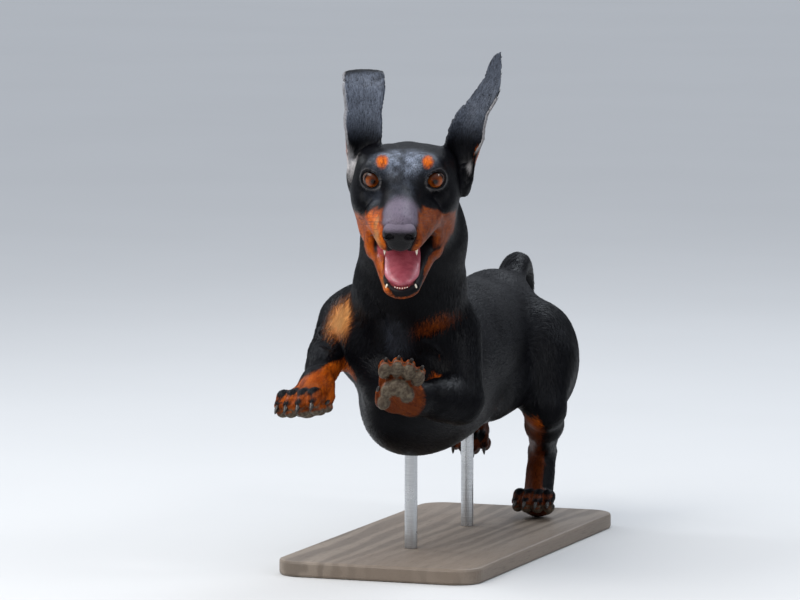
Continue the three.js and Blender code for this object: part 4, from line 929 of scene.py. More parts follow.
CHEST_STREAK = Frame((50, -185, 225), ((0.91, 0, 0.42), (0, 1, 0), (-0.42, 0, 0.91)))


def tan_marks(points, normals, gaps):
    """The tan, and its tone: 1 dark red-brown, 0 bright orange, -1 straw. The tone carries painted shade on
    the left cheek and, in part, behind the belly, and a painted highlight by the right upper lip.
    """
    x, forward, up = head.into(points).T
    _, jaw_forward, jaw_up = jaw.into(points).T
    straw_spot = 0.9 * spot(points, WORLD, (-43, -185, 226), (15, 30, 19), 1.0)
    streak = 0.7 * spot(points, CHEST_STREAK, (0, 0, 0), (21, 30, 9), 1.0)
    under_tail = spot(points, WORLD, (-6, 204, 190), (20, 14, 26))
    hind = [hind_tan(points, normals, gaps, chain) for chain in ("hind left", "hind right")]
    tan = either(face_tan(points), straw_spot, streak, under_tail, fore_tan(points, normals, gaps), *hind)
    top, stripe = face_borders(points)
    past_border = np.minimum(top - up, np.abs(x) - stripe)
    border = both(smooth(5.5, 0.5, past_border), smooth(-50, -20, forward), smooth(-70, -50, up),
                  smooth(-6, -14, up))
    chin_edge = both(smooth(50, 66, jaw_forward), smooth(-50, -54, jaw_up))
    # Painted shade: the dog's left cheek is darkened, as the side turned from the light.
    shaded_left_cheek = both(smooth(6, 22, x), smooth(-10, -22, up), smooth(-60, -40, forward))
    jaw_side = both(smooth(-62, -48, jaw_up + 0.2 * jaw_forward), smooth(-30, -12, jaw_forward),
                    smooth(-40, -50, up))
    forearm_patch = spot(points, WORLD, (-54, -250, 178), (8, 14, 6), 0.6)
    on_foreleg = both(smooth(-170, -200, points[:, 1]), smooth(212, 200, points[:, 2]))
    between_pads = either(*[palm(points, normals, leg, (30, 22), (0.1, 0.6)) for leg in LEGS.values()])
    left_palm = palm(points, normals, FORE_LEFT, (62, 44), (-0.1, 0.5))
    # The tan behind the belly is darkened to a deep red-brown, partly its own tone and partly painted shade.
    dark = either(
        0.9 * smooth(60, 100, points[:, 1]), streak, 0.7 * between_pads, 0.75 * border, 0.6 * chin_edge,
        0.68 * shaded_left_cheek, 0.2 * jaw_side, 0.9 * forearm_patch, 0.85 * left_palm,
        (0.22 + 0.4 * smooth(-0.2, 0.8, wave(points, 9, 51))) * on_foreleg)
    # Painted highlight: the right side of the muzzle by the upper lip is paled toward straw.
    lip = both(smooth(-9, -14, x), smooth(-26, -22, x), smooth(40, 60, forward), smooth(-14, -24, up))
    return tan, dark - either(0.9 * straw_spot, 0.5 * lip)


def painted_sheen_marks(points, normals):
    """Painted sheen: light from above painted as a reflection into the black hair, bluish on forehead and
    ears, mauve on the muzzle.
    """
    x, forward, up = head.into(points).T
    aside = np.abs(x)
    blotches = 0.62 + 0.38 * wave(points, 3.2, 61)
    centre_line = 1 - 0.6 * both(smooth(4.5, 1.5, np.abs(x + 1)), smooth(40, 25, forward))
    forehead = 1.15 * spot(points, head, (0, -2, 21), (25, 27, 16), 0.6) * blotches * centre_line
    stop = both(smooth(15, 8, aside), smooth(-4, 8, forward), smooth(-25, -19, up - 0.1 * forward))
    below_eyes = 0.15 * spot(points, head, (-24, 8, -15), (12, 14, 7), 0.6)
    breast = 0.2 * spot(points, WORLD, (21, -205, 216), (13, 25, 18), 0.5) * blotches
    faces = normals @ head.axes[1] - 0.45 * np.sign(x) * (normals @ head.axes[0])
    in_ears = (0.54 - 0.10 * np.sign(x)) * both(smooth(14, 46, up), smooth(0.2, 0.7, faces))
    bridge = both(smooth(18.5, 14.5, aside), smooth(42, 64, forward), smooth(-27, -20, up - 0.05 * forward))
    return either(forehead, 0.16 * stop * blotches, below_eyes, breast, in_ears), bridge


def softened(values, triangles, passes):
    """A mark evened out over the neighbours, so that no single point stands out."""
    for _ in range(passes):
        means = np.repeat(values[triangles].mean(1), 3)
        total = np.bincount(triangles.ravel(), means, len(values))
        values = total / np.maximum(np.bincount(triangles.ravel(), minlength=len(values)), 1)
    return values


def mouth_places(points):
    """The pink lining of the mouth and the dark lips."""
    x, forward, up = head.into(points).T
    aside = np.abs(x)
    palate, floor = ball_distance(PALATE[0], points, 0), ball_distance(JAW_HOLLOW[0], points, 0)
    at_mouth = both(smooth(-30, -22, forward), smooth(-26, -30, up))
    hollow = both(at_mouth, smooth(0.9, 0.1, np.minimum(palate, floor)), smooth(22, 20, aside))
    cheek = both(smooth(34, 24, forward), smooth(-26, -16, forward), smooth(-34, -38, up),
                 smooth(-70, -62, up))
    pink_cheek = both(cheek, smooth(24.5, 22.5, aside), smooth(4, -4, x))
    lip_width = 5 - 2.6 * smooth(-4, -12, x)
    rim = either(smooth(2.2, 1.2, palate), smooth(0.5, -0.5, floor - lip_width))
    return either(hollow, pink_cheek), either(both(at_mouth, rim), both(cheek, smooth(28.5, 26, aside)))


def lid_places(points):
    """The dark lids and the pale hair round them."""
    lids, rims = [], []
    for lump in LID_OPENINGS:
        off = ball_distance(lump, points, 0)
        wider = 1.4 * smooth(2, 7, (points - lump["at"]) @ head.axes[2])
        lids.append(smooth(1.4 + wider, 0.6 + wider, off))
        rims.append(both(smooth(1.0 + wider, 1.6 + wider, off), smooth(3.8, 2.4, off)))
    return either(*lids), either(*rims)


def pad_places(points, normals):
    pads = []
    for chain, leg in LEGS.items():
        faces = smooth(-0.3, 0.2, -normals @ paw_frame(leg).axes[2])
        pads += [both(smooth(1.6, 0.7, ball_distance(lump, points, 0)), faces) for lump in PAD_LUMPS[chain]]
    return either(*pads)


def pale_in_ears(points):
    """Pale hair in the openings of the ears and along their outer margins."""
    x, _, up = head.into(points).T
    openings = either(1.2 * spot(points, head, (-50, -43, 3), (5, 12, 14), 0.6),
                      0.3 * spot(points, head, (58, -42, 0), (3, 12, 9)))
    on_flap = both(smooth(10, 18, up), smooth(88, 74, up), smooth(40, 45, np.abs(x)))
    margins = []
    for lump, outer in zip(ear_lumps[:2], (-1, 1)):
        past, side = past_margin(lump, points)
        margins.append(both(smooth(-1.6, -0.6, past), smooth(-1, 1, outer * side), on_flap))
    return either(openings, 0.28 * either(*margins))


def bare_places(points, normals):
    """Lining of the mouth, dark leather, pads, and pale hair round the eyes and in the ears."""
    lining, lips = mouth_places(points)
    lids, rims = lid_places(points)
    off_nose = np.min([ball_distance(lump, points, 0) for lump in NOSE_BALLS], axis=0)
    nose = both(smooth(1.5, 0.5, off_nose), smooth(-17, -24, head.into(points)[:, 2]))
    pale = either(0.16 * rims, pale_in_ears(points))
    return lining, either(lips, lids, nose), pad_places(points, normals), pale


nose_lumps = place(head, [
    ball(NOSE["at"], (13.5, 10, 10)),
    pair(ball((8.6, 91, -24.5), (6.6, 8, 8), 3)),  # wings
    ball((0, 88.5, -33.5), (12, 7.5, 8.5), 4),  # lower part, down to the lip
    pair(carved(ball((8.6, 98.5, -26.5), (4.2, 4, 3.1), 1))),  # nostrils
    pair(carved(ball((13.5, 94.5, -28.5), (3.6, 4, 1.3), 0.6))),  # their side slits
    carved(bone((0, 101, -19), 0.6, (0, 97, -41), 0.9, 0.8)),  # groove between them
])
NOSE_BALLS = [lump for lump in nose_lumps if lump["kind"] == "ball" and not lump.get("carve")]
LID_OPENINGS = [lump for lump in lid_lumps() if lump.get("carve") and lump["radii"][1] == 6]
PAD_LUMPS = {  # among the balls of each paw: toe pads, middle pad and, in front, heel pad
    chain: [lump for lump in paw_lumps(leg) if lump["kind"] == "ball"][1:9] for chain, leg in LEGS.items()
}


# The unwrap of the skin's own shape, for OFBake: each chain of bones has a tile, in which the way round the
# chain runs across and the way along it runs up.
TILES = {
    "trunk": (0.00, 0.00, 0.42, 0.40), "neck": (0.44, 0.00, 0.26, 0.24), "head": (0.44, 0.26, 0.30, 0.38),
    "jaw": (0.76, 0.26, 0.22, 0.18), "tail": (0.72, 0.00, 0.14, 0.24),
    "ear right": (0.76, 0.46, 0.22, 0.18), "ear left": (0.76, 0.66, 0.22, 0.18),
    "fore right": (0.00, 0.42, 0.20, 0.28), "fore left": (0.22, 0.42, 0.20, 0.28),
    "hind left": (0.00, 0.72, 0.20, 0.27), "hind right": (0.22, 0.72, 0.20, 0.27),
}
CHAINS = list(TILES)
BONE_CHAIN = np.array([CHAINS.index(b["chain"]) for b in BONES])


def nearest_bone(points):
    return bone_gaps(points).argmin(0)


def round_and_along(points, bone_of):
    """The angle round the chain and the way along it, unbent, for points with their bones."""
    turn = np.array([b["turn"] for b in BONES])[bone_of]
    start = np.array([b["from"] for b in BONES])[bone_of]
    unbent = np.array([b["unbent"] for b in BONES])[bone_of]
    q = np.einsum("nij,nj->ni", turn, points - start)
    return np.arctan2(q[:, 0], q[:, 2]), q[:, 1] + unbent[:, 1]


def bake_places(angle, along, chain, spans):
    tile = np.array([TILES[name] for name in CHAINS])[chain]
    low, high = spans[chain].T
    across = 0.06 + 0.88 * (angle / (2 * math.pi) + 0.5)
    up = 0.04 + 0.92 * np.clip((along - low) / (high - low), 0, 1)
    return tile[:, :2] + np.stack([across, up], 1) * tile[:, 2:]


# The coat: thin closed tufts of six faces, each from a root in the skin over a ridge to a tip.
TUFTS = 150000
MOST_TUFTS = 32000  # in one piece of the coat
HAIR_MARKS = ("tan", "deep", "sheen_painted", "bridge_sheen_painted", "pale")
TUFT_LENGTH, SHORTER_ON_FACE = 9.5, 5.4
TUFT_WIDTH, NARROWER_ON_FACE = 0.85, 0.35
LENGTH_SPREAD, WIDTH_SPREAD = (0.7, 1.25), (0.75, 1.2)
BODY_LIFT, FACE_LIFT = (0.25, 0.95), (0.1, 0.35)  # of the tip over the skin
RIDGE_ALONG, RIDGE_LIFT, RIDGE_HEIGHT = 0.42, 0.45, 0.16  # of the tuft's length, lift and width
BASE_DEPTH, BASE_BACK = 0.4, 0.6
CLEAR_OF_EYE, CLEAR_OF_EAR_MARGIN = 1.2, 2.5
MOST_SHIFT, MOST_MISS = 2.5, 0.7  # how far a point is moved to its height, and how far it may still be off
# A tuft's points are its base, the two sides and the top of its ridge, and its tip.
TUFT_POINTS = 5
TUFT_FACES = np.array([(0, 1, 2), (0, 2, 3), (0, 3, 1), (4, 2, 1), (4, 3, 2), (4, 1, 3)])
TUFT_PATCH = 0.003 * np.array([(0, -0.5), (-0.4, 0), (0.4, 0), (0, 0.1), (0, 0.5)])  # in the bake map


def coat_shape(points, normals):
    """Length, width and closeness of the tufts at each point."""
    face = faceness(points)
    near_nose = smooth(75, 20, distance_to(points, MUZZLE_TIP))
    on_ear = smooth(10, 24, head.into(points)[:, 2])
    under_tail = smooth(210, 240, points[:, 1]) * smooth(-0.2, 0.4, -normals[:, 2])
    length = (TUFT_LENGTH - SHORTER_ON_FACE * face) * (1 - 0.4 * near_nose) * (1 - 0.25 * on_ear)
    width = (TUFT_WIDTH - NARROWER_ON_FACE * face) * (1 - 0.25 * near_nose)
    closeness = (1 + 1.6 * face) * (1 + 0.8 * near_nose)
    return length * (1 + 0.4 * under_tail), width, closeness


def turned_about(v, axis, angle):
    c, s = np.cos(angle)[:, None], np.sin(angle)[:, None]
    return v * c + np.cross(axis, v) * s


def tuft_roots(skin):
    """The triangle that each tuft stands in, and its place there as shares of the three corners."""
    points, triangles = skin["points"], skin["triangles"]
    area = np.linalg.norm(triangle_crosses(points, triangles), axis=1) / 2
    middle = points[triangles].mean(1)
    closeness = coat_shape(middle, units(skin["normals"][triangles].mean(1)))[2]
    chance = area * closeness * np.clip(1 - 1.6 * skin["bare"][triangles].mean(1), 0, 1)
    for eye in EYES:
        chance[distance_to(middle, eye) < EYE["radius"] + CLEAR_OF_EYE] = 0
    for ear in ear_lumps[:2]:
        chance[past_margin(ear, middle)[0] > -CLEAR_OF_EAR_MARGIN] = 0
    chosen = np.sort(rng.choice(len(triangles), TUFTS, p=chance / chance.sum()))
    a, b = rng.random((2, TUFTS))
    over = a + b > 1
    a[over], b[over] = 1 - a[over], 1 - b[over]
    return chosen, np.stack([1 - a - b, a, b], 1)


def grow_coat(skin):
    """The tufts with their places in the bake map, marks, unbent places and the normals that light them."""
    triangles = skin["triangles"]
    chosen, share = tuft_roots(skin)

    def spread(values):
        return np.einsum("nk,nk...->n...", share, values[triangles[chosen]])

    def held(at, height):
        """Points brought to a height over the skin."""
        return at + normal * np.clip(height - skin_level(at), -MOST_SHIFT, MOST_SHIFT)[:, None]

    root, normal, lie = spread(skin["points"]), units(spread(skin["normals"])), units(spread(skin["lie"]))
    lie = units(lie - (lie * normal).sum(1)[:, None] * normal)
    lie = turned_about(lie, normal, 0.3 * wave(root, 16, 5) + 0.14 * rng.normal(size=TUFTS))
    side = np.cross(lie, normal)
    length, width, _ = coat_shape(root, normal)
    length = length * rng.uniform(*LENGTH_SPREAD, TUFTS)
    width = width * rng.uniform(*WIDTH_SPREAD, TUFTS)
    face = faceness(root)
    lift = (1 - face) * rng.uniform(*BODY_LIFT, TUFTS) + face * rng.uniform(*FACE_LIFT, TUFTS)

    ridge = held(root + lie * (RIDGE_ALONG * length)[:, None], lift * RIDGE_LIFT)
    tip = held(root + lie * length[:, None], lift)
    base = root - normal * BASE_DEPTH - lie * BASE_BACK
    half = side * (width / 2)[:, None]
    up = normal * (RIDGE_HEIGHT * width)[:, None]
    tufts = np.stack([base, ridge - half, ridge + half, ridge + up, tip], 1)
    hits = np.abs(skin_level(tip) - lift) < MOST_MISS  # the others would stand off an edge
    tufts, root, normal, side, lie = tufts[hits], root[hits], normal[hits], side[hits], lie[hits]
    chosen, share = chosen[hits], share[hits]

    bone_of = nearest_bone(root)
    angle, along = round_and_along(root, bone_of)
    places = bake_places(angle, along, BONE_CHAIN[bone_of], skin["spans"])[:, None] + TUFT_PATCH
    marks = {name: spread(skin["marks"][name]) for name in HAIR_MARKS}
    marks["shade"] = rng.random(len(tufts))
    # Each tuft is lit like the skin under it, turned a little its own way.
    turned_aside = side * rng.normal(0, 0.10, len(tufts))[:, None]
    turned_along = lie * rng.normal(0.04, 0.06, len(tufts))[:, None]
    lit = units(normal + turned_aside + turned_along)
    unbent = spread(skin["unbent"])[:, None] + (tufts - root[:, None])
    return {"tufts": tufts, "places": places, "marks": marks, "unbent": unbent, "lit": lit}


# From millimetres in the dog's axes to a Blender mesh
SHIFT = vec(-STAND["centre"][0], -STAND["centre"][1], STAND["height"])


def in_metres(points):
    return (np.asarray(points, float) + SHIFT) / 1000


def new_object(name, data):
    made = bpy.data.objects.new(name, data)
    bpy.context.scene.collection.objects.link(made)
    return made


def new_piece(name, points, faces, material):
    mesh = bpy.data.meshes.new(name)
    faces = np.asarray(faces)
    mesh.vertices.add(len(points))
    mesh.vertices.foreach_set("co", in_metres(points).astype(np.float32).ravel())
    mesh.loops.add(faces.size)
    mesh.loops.foreach_set("vertex_index", faces.astype(np.int32).ravel())
    mesh.polygons.add(len(faces))
    mesh.polygons.foreach_set("loop_start", np.arange(0, faces.size, faces.shape[1], dtype=np.int32))
    mesh.polygons.foreach_set("use_smooth", np.ones(len(faces), bool))
    mesh.materials.append(material)
    mesh.update(calc_edges=True)
    mesh.validate()
    made = new_object(name, mesh)
    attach(made, "root")
    return made


def points_of(piece):
    """The points of a piece, back in the dog's axes."""
    flat = np.empty(3 * len(piece.data.vertices), np.float32)
    piece.data.vertices.foreach_get("co", flat)
    return flat.reshape(-1, 3) * 1000 - SHIFT


def give_number(piece, name, values):
    piece.data.attributes.new(name, "FLOAT", "POINT").data.foreach_set("value", values.astype(np.float32))


def give_vector(piece, name, values):
    attribute = piece.data.attributes.new(name, "FLOAT_VECTOR", "POINT")
    attribute.data.foreach_set("vector", values.astype(np.float32).ravel())


def give_bake_map(piece, corners):
    piece.data.uv_layers.new(name="OFBake").data.foreach_set("uv", corners.astype(np.float32).ravel())


# Paint
class Paint:
    """A material and its nodes."""

    def __init__(self, name):
        self.material = bpy.data.materials.new(name)
        self.material.use_nodes = True
        self.tree = self.material.node_tree
        self.tree.nodes.clear()

    def add(self, kind, output=0, settings=None, **inputs):
        """Adds a node and gives its output. Inputs are numbers, colours or other nodes' outputs, by their
        names, with _ for a space, or as i and their number."""
        made = self.tree.nodes.new("ShaderNode" + kind)
        for key, value in (settings or {}).items():
            setattr(made, key, value)
        for key, value in inputs.items():
            socket = made.inputs[int(key[1:])] if key[1:].isdigit() else made.inputs[key.replace("_", " ")]
            if isinstance(value, bpy.types.NodeSocket):
                self.tree.links.new(value, socket)
            else:
                socket.default_value = value
        return made.outputs[output]

    def mark(self, name):
        return self.add("Attribute", "Fac", {"attribute_name": name})

    def place(self, name):
        return self.add("Attribute", "Vector", {"attribute_name": name})

    def math(self, operation, a, b=0.0, clamp=False):
        return self.add("Math", 0, {"operation": operation, "use_clamp": clamp}, i0=a, i1=b)

    def plus(self, a, b):
        return self.math("ADD", a, b)

    def minus(self, a, b, clamp=False):
        return self.math("SUBTRACT", a, b, clamp)

    def times(self, a, b):
        return self.math("MULTIPLY", a, b)

    def stretched(self, vector, scale):
        return self.add("VectorMath", 0, {"operation": "MULTIPLY"}, i0=vector, i1=scale)

    def noise(self, vector, scale, detail=3.0, roughness=0.55):
        return self.add("TexNoise", "Fac", Vector=vector, Scale=scale, Detail=detail, Roughness=roughness)

    def edge(self, value, low, high):
        return self.add("MapRange", 0, {"interpolation_type": "SMOOTHSTEP"}, i0=value, i1=low, i2=high)

    def blend(self, share, a, b):
        """Runs from a to b, which are other nodes' outputs or colours of three numbers."""
        a, b = (c if isinstance(c, bpy.types.NodeSocket) else (*c, 1) for c in (a, b))
        return self.add("Mix", 2, {"data_type": "RGBA"}, i0=share, i6=a, i7=b)

    def bump(self, height, distance, strength=1.0, over=None):
        inputs = {"Height": height, "Distance": distance, "Strength": strength}
        if over is not None:
            inputs["Normal"] = over
        return self.add("Bump", 0, **inputs)

    def finish(self, **inputs):
        """The shader itself. Plain numbers go straight onto its own sockets."""
        shader = self.add("BsdfPrincipled", 0, **inputs)
        target = self.tree.nodes.new("ShaderNodeOutputMaterial")
        self.tree.links.new(shader, target.inputs["Surface"])
        return self.material


def coat_paint():
    p = Paint("coat")
    unbent = p.place("unbent")
    shade, deep, pad_mark, lining = p.mark("shade"), p.mark("deep"), p.mark("pad"), p.mark("lining")
    leather = p.mark("leather")
    hair = p.noise(p.stretched(unbent, (1.0, 0.14, 1.0)), 1.15, 3.0, 0.6)
    locks = p.noise(p.stretched(unbent, (1.0, 0.22, 1.0)), 0.22, 2.0)
    wander = p.noise(unbent, 0.09, 3.0)
    stray = p.plus(p.times(p.minus(hair, 0.5), 0.6), p.times(p.minus(shade, 0.5), 0.22))

    black = p.blend(p.edge(hair, 0.35, 0.75), (0.0012, 0.0012, 0.0017), (0.0046, 0.0048, 0.0070))
    streaks = p.edge(p.plus(hair, p.times(stray, 0.5)), 0.1, 0.75)
    # Painted sheen: bluish grey over forehead, breast and ears and mauve grey over the bridge of the muzzle,
    # light from above painted as a reflection in the black hair.
    black = p.blend(p.times(p.mark("sheen_painted"), streaks), black, (0.235, 0.270, 0.345))
    black = p.blend(p.times(p.mark("bridge_sheen_painted"), p.edge(hair, 0.1, 0.55)), black, (0.140, 0.115, 0.152))

    tan = p.blend(p.edge(wander, 0.3, 0.7), (0.36, 0.058, 0.003), (0.60, 0.125, 0.006))
    tan = p.blend(p.edge(locks, 0.52, 0.36), tan, (0.20, 0.030, 0.002))
    tan = p.blend(p.edge(hair, 0.52, 0.85), tan, (0.72, 0.22, 0.028))
    tan = p.blend(p.times(p.edge(shade, 0.55, 1.0), 0.7), tan, (0.15, 0.024, 0.003))
    # The deep tone, red-brown, carries painted shade as well as the tan's own darker places.
    brown = p.blend(p.edge(hair, 0.35, 0.8), (0.026, 0.006, 0.003), (0.125, 0.026, 0.006))
    tan = p.blend(deep, tan, brown)
    # Straw, which also carries the painted highlight by the right upper lip.
    tan = p.blend(p.times(deep, -1.0), tan, (0.48, 0.25, 0.085))  # straw

    colour = p.blend(p.edge(p.plus(p.mark("tan"), stray), 0.22, 0.78), black, tan)
    pale_share = p.times(p.mark("pale"), p.edge(hair, 0.2, 0.55))
    colour = p.blend(pale_share, colour, (0.70, 0.67, 0.67))
    worn = p.noise(unbent, 0.3, 3.0, 0.6)
    pad = p.blend(p.edge(worn, 0.35, 0.7), (0.050, 0.036, 0.026), (0.125, 0.100, 0.070))
    colour = p.blend(pad_mark, colour, pad)
    colour = p.blend(leather, colour, (0.007, 0.006, 0.007))
    grain = p.noise(unbent, 0.9, 4.0, 0.65)
    wet = p.blend(p.edge(grain, 0.35, 0.7), (0.36, 0.055, 0.065), (0.52, 0.13, 0.14))
    colour = p.blend(lining, colour, wet)

    rough = p.minus(p.plus(0.28, p.times(hair, 0.2)), p.times(lining, 0.28))
    furred = p.minus(1.0, p.plus(pad_mark, p.plus(lining, leather)), True)
    relief = p.bump(p.times(p.plus(hair, p.times(locks, 0.8)), furred), 0.0006, 0.5)
    cracks = p.noise(unbent, 2.4, 3.0, 0.6)
    relief = p.bump(p.times(cracks, pad_mark), 0.00025, 0.5, relief)
    return p.finish(Base_Color=colour, Roughness=rough, Normal=relief, IOR=1.5, Specular_IOR_Level=0.075)


def eye_paint():
    """Pupil, iris with fibres, dark border and white, by the place on the globe, which looks along its own
    third axis."""
    p = Paint("eye")
    gaze = p.place("gaze")
    x, y = p.add("SeparateXYZ", 0, i0=gaze), p.add("SeparateXYZ", 1, i0=gaze)
    off = p.math("SQRT", p.plus(p.times(x, x), p.times(y, y)))
    round_it = p.math("ARCTAN2", y, x)
    fibre_place = p.add("CombineXYZ", 0, i0=p.times(round_it, 7.0), i1=p.times(off, 3.0))
    fibres = p.noise(fibre_place, 2.2, 4.0, 0.7)
    cloud = p.noise(gaze, 3.0, 2.0)
    iris = p.blend(p.edge(fibres, 0.3, 0.72), (0.12, 0.022, 0.002), (0.42, 0.095, 0.008))
    iris = p.blend(p.edge(cloud, 0.45, 0.7), iris, (0.26, 0.055, 0.005))
    iris = p.blend(p.edge(off, 0.46, 0.28), iris, (0.12, 0.022, 0.003))
    iris = p.blend(p.times(p.edge(y, -0.05, 0.5), 0.85), iris, (0.030, 0.007, 0.002))  # lid's shadow
    colour = p.blend(p.edge(off, 0.14, 0.30), (0.006, 0.002, 0.001), iris)
    colour = p.blend(p.edge(off, 0.62, 0.74), colour, (0.008, 0.003, 0.002))
    veins = p.noise(gaze, 7.0, 5.0, 0.7)
    white = p.blend(p.edge(veins, 0.45, 0.7), (0.11, 0.078, 0.066), (0.07, 0.025, 0.018))
    colour = p.blend(p.edge(off, 0.79, 0.86), colour, white)
    relief = p.bump(fibres, 0.0001, 0.2)
    return p.finish(Base_Color=colour, Roughness=0.25, Normal=relief, IOR=1.38, Specular_IOR_Level=0.15,
                    Coat_Weight=0.4, Coat_Roughness=0.02)


def nose_paint():
    """Black pebbled leather, with a painted grey sheen on top where it runs into the bridge."""
    p = Paint("nose_leather")
    here = p.place("own")
    cells = p.add("TexVoronoi", 0, {"feature": "F1"}, Vector=here, Scale=0.85)
    grain = p.noise(here, 1.6, 3.0)
    colour = p.blend(p.edge(grain, 0.3, 0.7), (0.002, 0.0018, 0.0022), (0.008, 0.007, 0.0085))
    # Painted sheen: the top of the nose is greyed like the bridge of the muzzle, as a reflection of light
    # from above.
    top_sheen_painted = p.edge(p.plus(p.mark("rise"), p.times(p.minus(grain, 0.5), 6.0)), -24.0, -18.0)
    colour = p.blend(top_sheen_painted, colour, (0.125, 0.103, 0.136))
    rough = p.plus(0.34, p.times(top_sheen_painted, 0.3))
    relief = p.bump(p.minus(1.0, cells), 0.0006, 0.6)
    return p.finish(Base_Color=colour, Roughness=rough, Normal=relief, Specular_IOR_Level=0.16)


def tongue_paint():
    p = Paint("tongue")
    here = p.place("own")
    buds = p.noise(here, 1.7, 3.0, 0.6)
    patches = p.noise(here, 0.12, 2.0)
    colour = p.blend(p.edge(patches, 0.35, 0.65), (0.33, 0.052, 0.078), (0.45, 0.105, 0.135))
    colour = p.blend(p.edge(buds, 0.5, 0.8), colour, (0.56, 0.21, 0.25))
    relief = p.bump(buds, 0.0005, 0.5)
    return p.finish(Base_Color=colour, Roughness=0.3, Normal=relief, Subsurface_Weight=0.15,
                    Subsurface_Radius=(0.004, 0.0015, 0.001), Coat_Weight=0.35, Coat_Roughness=0.15)


def plain_paint(name, grain, colour, other, relief=None, **finish):
    """Two colours in a noise, which can be the relief too."""
    p = Paint(name)
    noise = p.noise(p.place("own"), *grain)
    if relief:
        finish["Normal"] = p.bump(noise, *relief)
    return p.finish(Base_Color=p.blend(p.edge(noise, 0.35, 0.7), colour, other), **finish)


def wood_paint():
    """Grey-brown oiled wood with its grain along the dog."""
    p = Paint("stand_wood")
    here = p.add("TexCoord", "Object")
    wobble = p.noise(p.stretched(here, (9.0, 1.6, 9.0)), 1.0, 3.0)
    drawn_out = p.stretched(here, (1.0, 0.12, 1.0))
    rings = p.add("TexWave", "Fac", {"wave_type": "BANDS", "bands_direction": "X"}, Vector=drawn_out,
                  Scale=16.0, Distortion=9.0, Detail=3.0, Detail_Scale=1.4)
    pores = p.noise(p.stretched(here, (1400.0, 42.0, 1400.0)), 1.0, 2.0)
    colour = p.blend(p.edge(rings, 0.1, 0.9), (0.150, 0.118, 0.090), (0.235, 0.190, 0.148))
    colour = p.blend(p.edge(wobble, 0.35, 0.7), colour, (0.19, 0.145, 0.108))
    colour = p.blend(p.edge(pores, 0.58, 0.75), colour, (0.085, 0.062, 0.045))
    rough = p.plus(0.38, p.times(pores, 0.25))
    relief = p.bump(p.minus(rings, p.times(pores, 1.4)), 0.0002, 0.5)
    return p.finish(Base_Color=colour, Roughness=rough, Normal=relief)


def steel_paint():
    """Brushed steel, turned on a lathe: fine rings round the rod."""
    p = Paint("stand_steel")
    here = p.add("TexCoord", "Object")
    rings = p.noise(p.stretched(here, (60.0, 60.0, 2600.0)), 1.0, 2.0)
    smears = p.noise(here, 45.0, 3.0)
    colour = p.blend(p.edge(rings, 0.3, 0.7), (0.46, 0.47, 0.48), (0.60, 0.61, 0.62))
    rough = p.plus(0.2, p.times(smears, 0.2))
    return p.finish(Base_Color=colour, Roughness=rough, Metallic=1.0, Normal=p.bump(rings, 0.00005, 0.4))


def floor_paint():
    p = Paint("floor")
    here = p.add("TexCoord", "Object")
    mottle = p.noise(here, 2.0, 3.0)
    colour = p.blend(p.edge(mottle, 0.3, 0.7), (0.535, 0.535, 0.530), (0.545, 0.545, 0.540))
    return p.finish(Base_Color=colour, Roughness=0.85)


# The skin and its coat
def make_dog_skin(material):
    """The skin's piece, and what the coat needs to know of it."""
    points, triangles, normals = make_skin()
    lie, unbent = coat_lie(points)
    lining, leather, pad, pale = bare_places(points, normals)
    tan, deep = tan_marks(points, normals, bone_gaps(points))
    # Painted sheen: where light from above is painted into the black hair as a bluish or mauve reflection.
    sheen_painted, bridge_sheen_painted = painted_sheen_marks(points, normals)
    ears = head.into(points)[:, 2] > 30
    sheen_painted = np.where(ears, softened(sheen_painted, triangles, 4), sheen_painted)
    marks = {"tan": tan, "deep": deep, "sheen_painted": sheen_painted, "bridge_sheen_painted": bridge_sheen_painted, "lining": lining, "leather": leather,
             "pad": pad, "pale": pale}
    bone_of = nearest_bone(points)
    chain = BONE_CHAIN[bone_of]
    _, along = round_and_along(points, bone_of)
    spans = np.array([(along[chain == i].min(), along[chain == i].max()) for i in range(len(CHAINS))])

    piece = new_piece("skin", points, triangles, material)
    for name, values in marks.items():
        give_number(piece, name, values)
    give_number(piece, "shade", np.full(len(points), 0.5))
    give_vector(piece, "unbent", unbent)
    middle = points[triangles].mean(1)
    face_bone = nearest_bone(middle)
    corner_bone = np.repeat(face_bone, 3)
    centre = np.repeat(round_and_along(middle, face_bone)[0], 3)
    angle, along = round_and_along(points[triangles.ravel()], corner_bone)
    angle = centre + (angle - centre + math.pi) % (2 * math.pi) - math.pi
    give_bake_map(piece, bake_places(angle, along, BONE_CHAIN[corner_bone], spans))
    return piece, {"points": points, "triangles": triangles, "normals": normals, "lie": lie, "unbent": unbent,
                   "marks": marks, "bare": either(lining, leather, pad), "spans": spans}


def make_coat(skin, material):
    coat = grow_coat(skin)
    pieces = []
    for part, start in enumerate(range(0, len(coat["tufts"]), MOST_TUFTS)):
        some = slice(start, start + MOST_TUFTS)
        points = coat["tufts"][some].reshape(-1, 3)
        firsts = np.arange(0, len(points), TUFT_POINTS)
        faces = (TUFT_FACES + firsts[:, None, None]).reshape(-1, 3)
        piece = new_piece(f"coat_{part + 1}", points, faces, material)
        for name, values in coat["marks"].items():
            give_number(piece, name, np.repeat(values[some], TUFT_POINTS))
        give_vector(piece, "unbent", coat["unbent"][some])
        give_bake_map(piece, coat["places"][some].reshape(-1, 2)[faces.ravel()])
        piece.data.normals_split_custom_set_from_vertices(np.repeat(coat["lit"][some], TUFT_POINTS, axis=0))
        pieces.append(piece)
    return pieces


FLESH = [
    "ear_right", "ear_left", "lower_jaw", "head", "fore_paw_right", "fore_paw_left", "hind_paw_left",
    "hind_paw_right", "tail_end", "tail_root", "neck", "forearm_right", "forearm_left", "upper_arm_right",
    "upper_arm_left", "shank_left", "thigh_left", "shank_right", "thigh_right", "torso",
]

